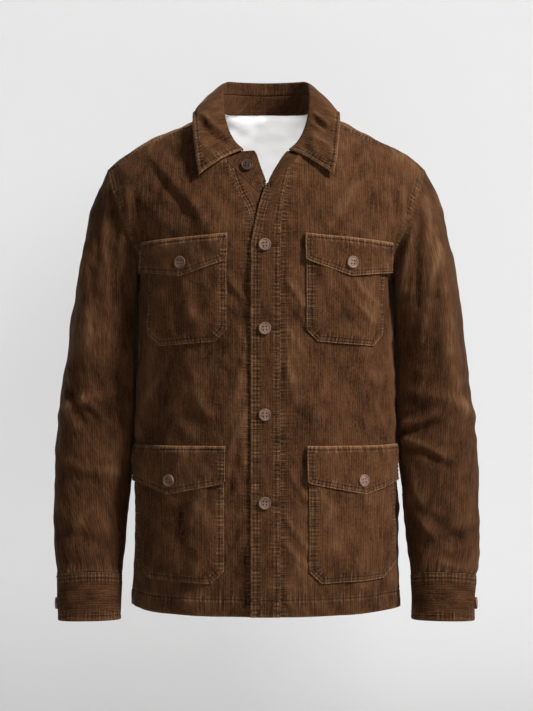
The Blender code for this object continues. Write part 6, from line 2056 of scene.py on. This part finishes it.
@dataclass
class Button:
    """A four-hole button with a groove inside its rim, sewn on through its holes."""

    diameter: float = 0.0176
    height: float = 0.0032
    rim: float = 0.0019
    dish: float = 0.0009
    hole: float = 0.0024
    hole_gap: float = 0.0045
    lift: float = 0.0005

    def model(self, plastic: bpy.types.Material, thread: bpy.types.Material) -> bpy.types.Object:
        """Models the button once, its back on z = 0.

        Args:
            plastic: the button's finish.
            thread: the thread's finish.

        Returns:
            The button and its thread as one object.
        """
        item = start_primitive(bpy.ops.mesh.primitive_cylinder_add, vertices=48, radius=self.diameter / 2,
                               depth=self.height, location=(0, 0, self.height / 2))
        bpy.ops.object.transform_apply(location=True, rotation=False, scale=False)
        with editing():
            select_faces(item, lambda face: face.normal.z > 0.9)
            for inset, drop in ((self.rim, 0.0), (0.0006, self.dish), (0.0006, -0.6 * self.dish)):
                bpy.ops.mesh.inset(thickness=inset)
                bpy.ops.transform.translate(value=(0, 0, -drop))
        bevel = item.modifiers.new("edges", "BEVEL")
        bevel.width, bevel.segments = 0.0006, 3
        bevel.limit_method, bevel.angle_limit = "ANGLE", math.radians(35)
        bpy.ops.object.modifier_apply(modifier=bevel.name)
        add = bpy.ops.mesh.primitive_cylinder_add
        offset = self.hole_gap / 2
        holes = [(-offset, -offset), (offset, -offset), (offset, offset), (-offset, offset)]
        for x, y in holes:
            drill = start_primitive(add, vertices=16, radius=self.hole / 2, depth=0.02, location=(x, y, 0))
            bpy.context.view_layer.objects.active = item
            cutter = item.modifiers.new("hole", "BOOLEAN")
            cutter.object, cutter.operation, cutter.solver = drill, "DIFFERENCE", "EXACT"
            bpy.ops.object.modifier_apply(modifier=cutter.name)
            bpy.data.objects.remove(drill, do_unlink=True)
        # Thread plugs in the holes, near-black as painted shade of the holes.
        knots = [start_primitive(add, vertices=12, radius=self.hole * 0.49, depth=self.height * 0.5,
                                 location=(x, y, self.height * 0.4)) for x, y in holes]
        shank = start_primitive(add, vertices=12, radius=0.0024, depth=self.lift * 2.4,
                                location=(0, 0, -self.lift * 0.9))
        return join(item, knots + [shank], (plastic, thread), 40)


@dataclass
class Buttonhole:
    """A bound buttonhole: an oval of thread round a near-black sheet, painted shade of its opening."""

    length: float = 0.0200
    width: float = 0.0034
    bead: float = 0.0011

    def model(self, thread: bpy.types.Material, slit: bpy.types.Material) -> bpy.types.Object:
        """Models the buttonhole once, along X on z = 0."""
        item = start_primitive(bpy.ops.mesh.primitive_torus_add, major_segments=40, minor_segments=8,
                               major_radius=(self.width - self.bead) / 2, minor_radius=self.bead / 2)
        half = (self.length - self.width) / 2
        for sign in (-1, 1):
            with editing():
                bpy.ops.mesh.select_mode(type="VERT")
                bpy.ops.mesh.select_all(action="DESELECT")
            for vertex in item.data.vertices:
                at = vertex.co.x * sign
                vertex.select = at > -1e-6 if abs(vertex.co.x) < half / 2 else at > half / 2
            with editing():
                bpy.ops.transform.translate(value=(sign * half, 0, 0))
        # A near-black sheet inside the oval: painted shade of the opening.
        dark = start_primitive(bpy.ops.mesh.primitive_uv_sphere_add, segments=10, ring_count=6, radius=0.5)
        with editing():
            resize_all((self.length - self.width * 0.6, self.width - 1.5 * self.bead, self.bead * 0.5))
        return join(item, [dark], (thread, slit), 60)


# ---- stage --------------------------------------------------------------------------

@dataclass
class Stage:
    """The plain pale floor and backdrop, the lights and the camera."""

    eye: tuple[float, float, float] = (0.0003, -2.3, -0.3458)
    lens: float = 76.6
    wall_y: float = 0.62
    floor_z: float = -1.05
    cove: float = 0.30
    pale: Colour = (0.67, 0.67, 0.67)
    # Name, place, place looked at, size in metres, power in watts, and a piece lit alone or left out.
    lamps: tuple[tuple[str, tuple[float, ...], tuple[float, ...], float, float, str, str], ...] = (
        ("key", (3.10, -2.00, 2.72), (0.0, 0.0, -0.35), 0.82, 335.0, "backdrop", "EXCLUDE"),
        ("fill", (-0.9, -2.8, 0.3), (0.0, 0.0, -0.35), 1.6, 6.5, "backdrop", "EXCLUDE"),
        # The neck's pale inside lies deep in the collar's shade.
        ("neck", (0.0, -1.6, 0.22), (0.0, 0.07, -0.03), 0.3, 35.0, "back_cloth", "INCLUDE"),
        # The wall is washed evenly, without shadows, and a second lamp lays the jacket's soft shadow on it.
        ("wash", (0.0, -3.3, 0.1), (0.0, 0.62, -0.35), 3.0, 148.0, "backdrop", "INCLUDE"),
        ("shade", (1.5, -3.0, 1.0), (0.0, 0.62, -0.35), 1.5, 40.0, "backdrop", "INCLUDE"))
    world: float = 0.11

    def build(self) -> None:
        """Adds all of it."""
        sweep = start_primitive(bpy.ops.mesh.primitive_plane_add, size=1.0)
        sweep.name = "backdrop"
        with editing():
            resize_all((12.0, 7.0, 1.0))
            bpy.ops.transform.translate(value=(0, self.wall_y - 3.5, self.floor_z))
            bpy.ops.mesh.select_mode(type="EDGE")
            bpy.ops.mesh.select_all(action="DESELECT")
        for edge in sweep.data.edges:
            edge.select = all(sweep.data.vertices[n].co.y > self.wall_y - 0.01 for n in edge.vertices)
        with editing():
            bpy.ops.mesh.extrude_region_move(TRANSFORM_OT_translate={"value": (0, 0, 5.0)})
        bend = sweep.modifiers.new("bend", "BEVEL")
        bend.width, bend.segments = self.cove, 16
        bpy.context.view_layer.objects.active = sweep
        bpy.ops.object.modifier_apply(modifier=bend.name)
        bpy.ops.object.shade_smooth()
        s = Shading("pale backdrop")
        grain = s.noise(s.node("TexCoord").outputs["Object"], 3.0, 2.0)
        colour = s.mix(s.spread(grain, 0.3, 0.7, (0.0, 0.3)), self.pale, (0.67, 0.67, 0.68))
        for key, value in (("Base Color", colour), ("Roughness", 1.0), ("Specular IOR Level", 0.0)):
            s.put(s.shader, key, value)
        # From behind, the wall doesn't hide the jacket.
        switch = s.node("MixShader")
        for key, value in enumerate((s.node("NewGeometry").outputs["Backfacing"], s.shader.outputs[0],
                                     s.node("BsdfTransparent").outputs[0])):
            s.put(switch, key, value)
        s.put(s.tree.nodes["Material Output"], 0, switch.outputs[0])
        sweep.data.materials.append(s.material)
        world = bpy.context.scene.world or bpy.data.worlds.new("studio")
        bpy.context.scene.world = world
        world.use_nodes = True
        background = world.node_tree.nodes["Background"]
        background.inputs["Color"].default_value = (*self.pale, 1)
        background.inputs["Strength"].default_value = self.world
        for lamp in self.lamps:
            self.add_lamp(*lamp)
        bpy.context.scene.view_settings.view_transform = "Standard"
        lens = bpy.data.cameras.new("camera")
        lens.lens, lens.sensor_width, lens.sensor_fit = self.lens, 36.0, "AUTO"
        camera = bpy.data.objects.new("camera", lens)
        camera.location = self.eye
        camera.rotation_euler = (math.pi / 2, 0, 0)
        bpy.context.scene.collection.objects.link(camera)
        bpy.context.scene.camera = camera
        log.info("stage: backdrop, %d lamps, camera", len(self.lamps))

    def add_lamp(self, name: str, place: tuple[float, ...], target: tuple[float, ...], size: float,
                 power: float, piece: str, state: str) -> None:
        """Adds an area lamp, turned to its target, that lights the one piece named or all but it."""
        lamp = bpy.data.lights.new(name, "AREA")
        lamp.size, lamp.energy, lamp.use_shadow = size, power, name != "wash"
        item = bpy.data.objects.new(name, lamp)
        item.location = place
        item.visible_camera = False
        item.rotation_euler = (Vector(target) - Vector(place)).to_track_quat("-Z", "Y").to_euler()
        bpy.context.scene.collection.objects.link(item)
        receivers = bpy.data.collections.new("lit by " + name)
        receivers.objects.link(bpy.data.objects[piece])
        receivers.collection_objects[0].light_linking.link_state = state
        item.light_linking.receiver_collection = receivers


# ---- the jacket ---------------------------------------------------------------------

@dataclass
class Jacket:
    """All pieces of the jacket in the order in which they are dressed."""

    front_buttons_z: tuple[float, ...] = (-0.1872, -0.3067, -0.4302, -0.5562)
    front_button_x: float = -0.0020
    corduroy: Corduroy = Corduroy()
    # A darker copy of the corduroy for the stand: painted shade under the fall.
    stand_corduroy: Corduroy = Corduroy("corduroy of the stand", (0.074, 0.031, 0.0135),
                                        (0.044, 0.018, 0.0076))
    # A darker copy of the corduroy for the sleeves and cuffs: painted shade.
    sleeve_corduroy: Corduroy = Corduroy("corduroy of the sleeves", (0.068, 0.0286, 0.0120),
                                         (0.038, 0.0154, 0.0062))
    back_of_cloth: ClothBack = ClothBack()
    thread: Thread = Thread()
    hole_thread: Thread = Thread("buttonhole thread", (0.075, 0.036, 0.017))
    # Near-black thread: it plugs the buttons' holes as painted shade.
    button_thread: Thread = Thread("button thread", (0.022, 0.012, 0.008))
    # A near-black sheet in each buttonhole: painted shade of the opening.
    slit: Thread = Thread("slit", (0.012, 0.006, 0.004))
    horn: Horn = Horn()
    # A darker copy of the horn for the neck button: painted shade under the collar.
    dark_horn: Horn = Horn("dark horn plastic", (0.070, 0.037, 0.023), (0.040, 0.020, 0.012))

    def press(self, cloth: Cloth, place: Array, radius: float = 0.0085, depth: float = 0.0004) -> Array:
        """Flattens the cloth under a button, and returns its outer point there."""
        gap = np.linalg.norm(cloth.base - place, axis=-1)
        share = bump(gap, radius)
        cloth.relief += -cloth.relief * share - depth * share
        i, j = np.unravel_index(np.argmin(gap), gap.shape)
        return cloth.base[i, j] + cloth.normals[i, j] * cloth.relief[i, j]

    def build(self) -> None:
        """Builds every piece."""
        cord = self.corduroy.material()
        shaded_stand_cord = self.stand_corduroy.material()
        shaded_sleeve_cord = self.sleeve_corduroy.material()
        pale = self.back_of_cloth.material()
        thread = self.thread.material()
        hole_thread, slit = self.hole_thread.material(), self.slit.material()
        dark_horn = self.dark_horn.material()
        button_model = Button().model(self.horn.material(), self.button_thread.material())
        hole_model = Buttonhole().model(hole_thread, slit)
        buttons: list[tuple[str, Array, Array]] = []
        holes: list[tuple[str, Array, Array, float]] = []

        BackPanel().cloth().build(cord, pale, thread)
        for side in Side:
            FrontPanel(side).cloth().build(cord, pale, thread)
        FrontBand.button_side().cloth().build(cord, cord, thread)
        band = FrontBand.buttonhole_side().cloth()
        for number, z in enumerate(self.front_buttons_z, 1):
            y = float(BODY.front_y(np.abs(self.front_button_x), np.array(z))) - BAND_LIFT - FACED_CLOTH
            facing = BODY.front_normal(self.front_button_x, z) * np.array([0, 1, 1])
            place = self.press(band, np.array([self.front_button_x, y, z]))
            place = np.array([self.front_button_x, place[1], z])
            buttons.append((f"front_{number}", place, facing))
            hole = place + np.array([0.0102, -0.0006, 0.0])
            holes.append((f"front_{number}", hole, facing, 0.0))
        band.build(cord, cord, thread)
        collar = Collar()
        collar.stand().build(shaded_stand_cord, shaded_stand_cord, thread)
        buttons.append(("neck", *collar.button))
        collar.fall().build(cord, cord, thread)
        for side in Side:
            for pocket in (PatchPocket.breast(), PatchPocket.lower()):
                pocket.cloth(side).build(cord, cord, thread)
            for flap in (Flap.breast(), Flap.lower()):
                cloth = flap.cloth(side)
                x, z = side.value * flap.button[0], flap.button[1]
                normal = BODY.front_normal(x, z)
                place = self.press(cloth, BODY.front_point(x, z) + normal * (flap.gaps[1] + FACED_CLOTH))
                place = np.array([x, place[1], z])
                name = flap.name.split("_")[0] + "_" + side.word
                buttons.append((name, place, normal))
                axes = frame_at(normal)
                holes.append((name, place + axes[1] * 0.0085 + normal * 0.0004, normal, 90.0))
                cloth.build(cord, cord, thread)
            sleeve = Sleeve(side)
            for cloth in sleeve.cloths():
                cloth.build(shaded_sleeve_cord, shaded_sleeve_cord, thread)
            buttons.append(("cuff_" + side.word, *sleeve.button_place()))
        spins = np.random.default_rng(5).uniform(-8, 8, len(buttons))
        lift = Button().lift
        for (name, place, normal), spin in zip(buttons, spins):
            item = place_copy(button_model, "horn_button_" + name, place + unit(normal) * lift,
                              frame_at(normal, spin))
            # The neck button gets the darker horn copy, as painted shade.
            if name == "neck":
                item.data.materials[0] = dark_horn
            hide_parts("button_" + name)
            finish_piece(item)
        for name, place, normal, spin in holes:
            item = place_copy(hole_model, f"buttonhole_{name}", place, frame_at(normal, spin))
            finish_piece(item)
        for model in (button_model, hole_model):
            bpy.data.objects.remove(model, do_unlink=True)
        log.info("buttons: %d, buttonholes: %d", len(buttons), len(holes))


def plain(box: tuple[Sequence[float], Sequence[float]]) -> list[list[float]]:
    """A box as lists of numbers."""
    return [[float(value) for value in corner] for corner in box]


def main() -> None:
    """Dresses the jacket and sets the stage."""
    logging.basicConfig(level=logging.INFO, format="%(name)s %(message)s")
    Jacket().build()
    Stage().build()


if __name__ == "__main__":
    main()
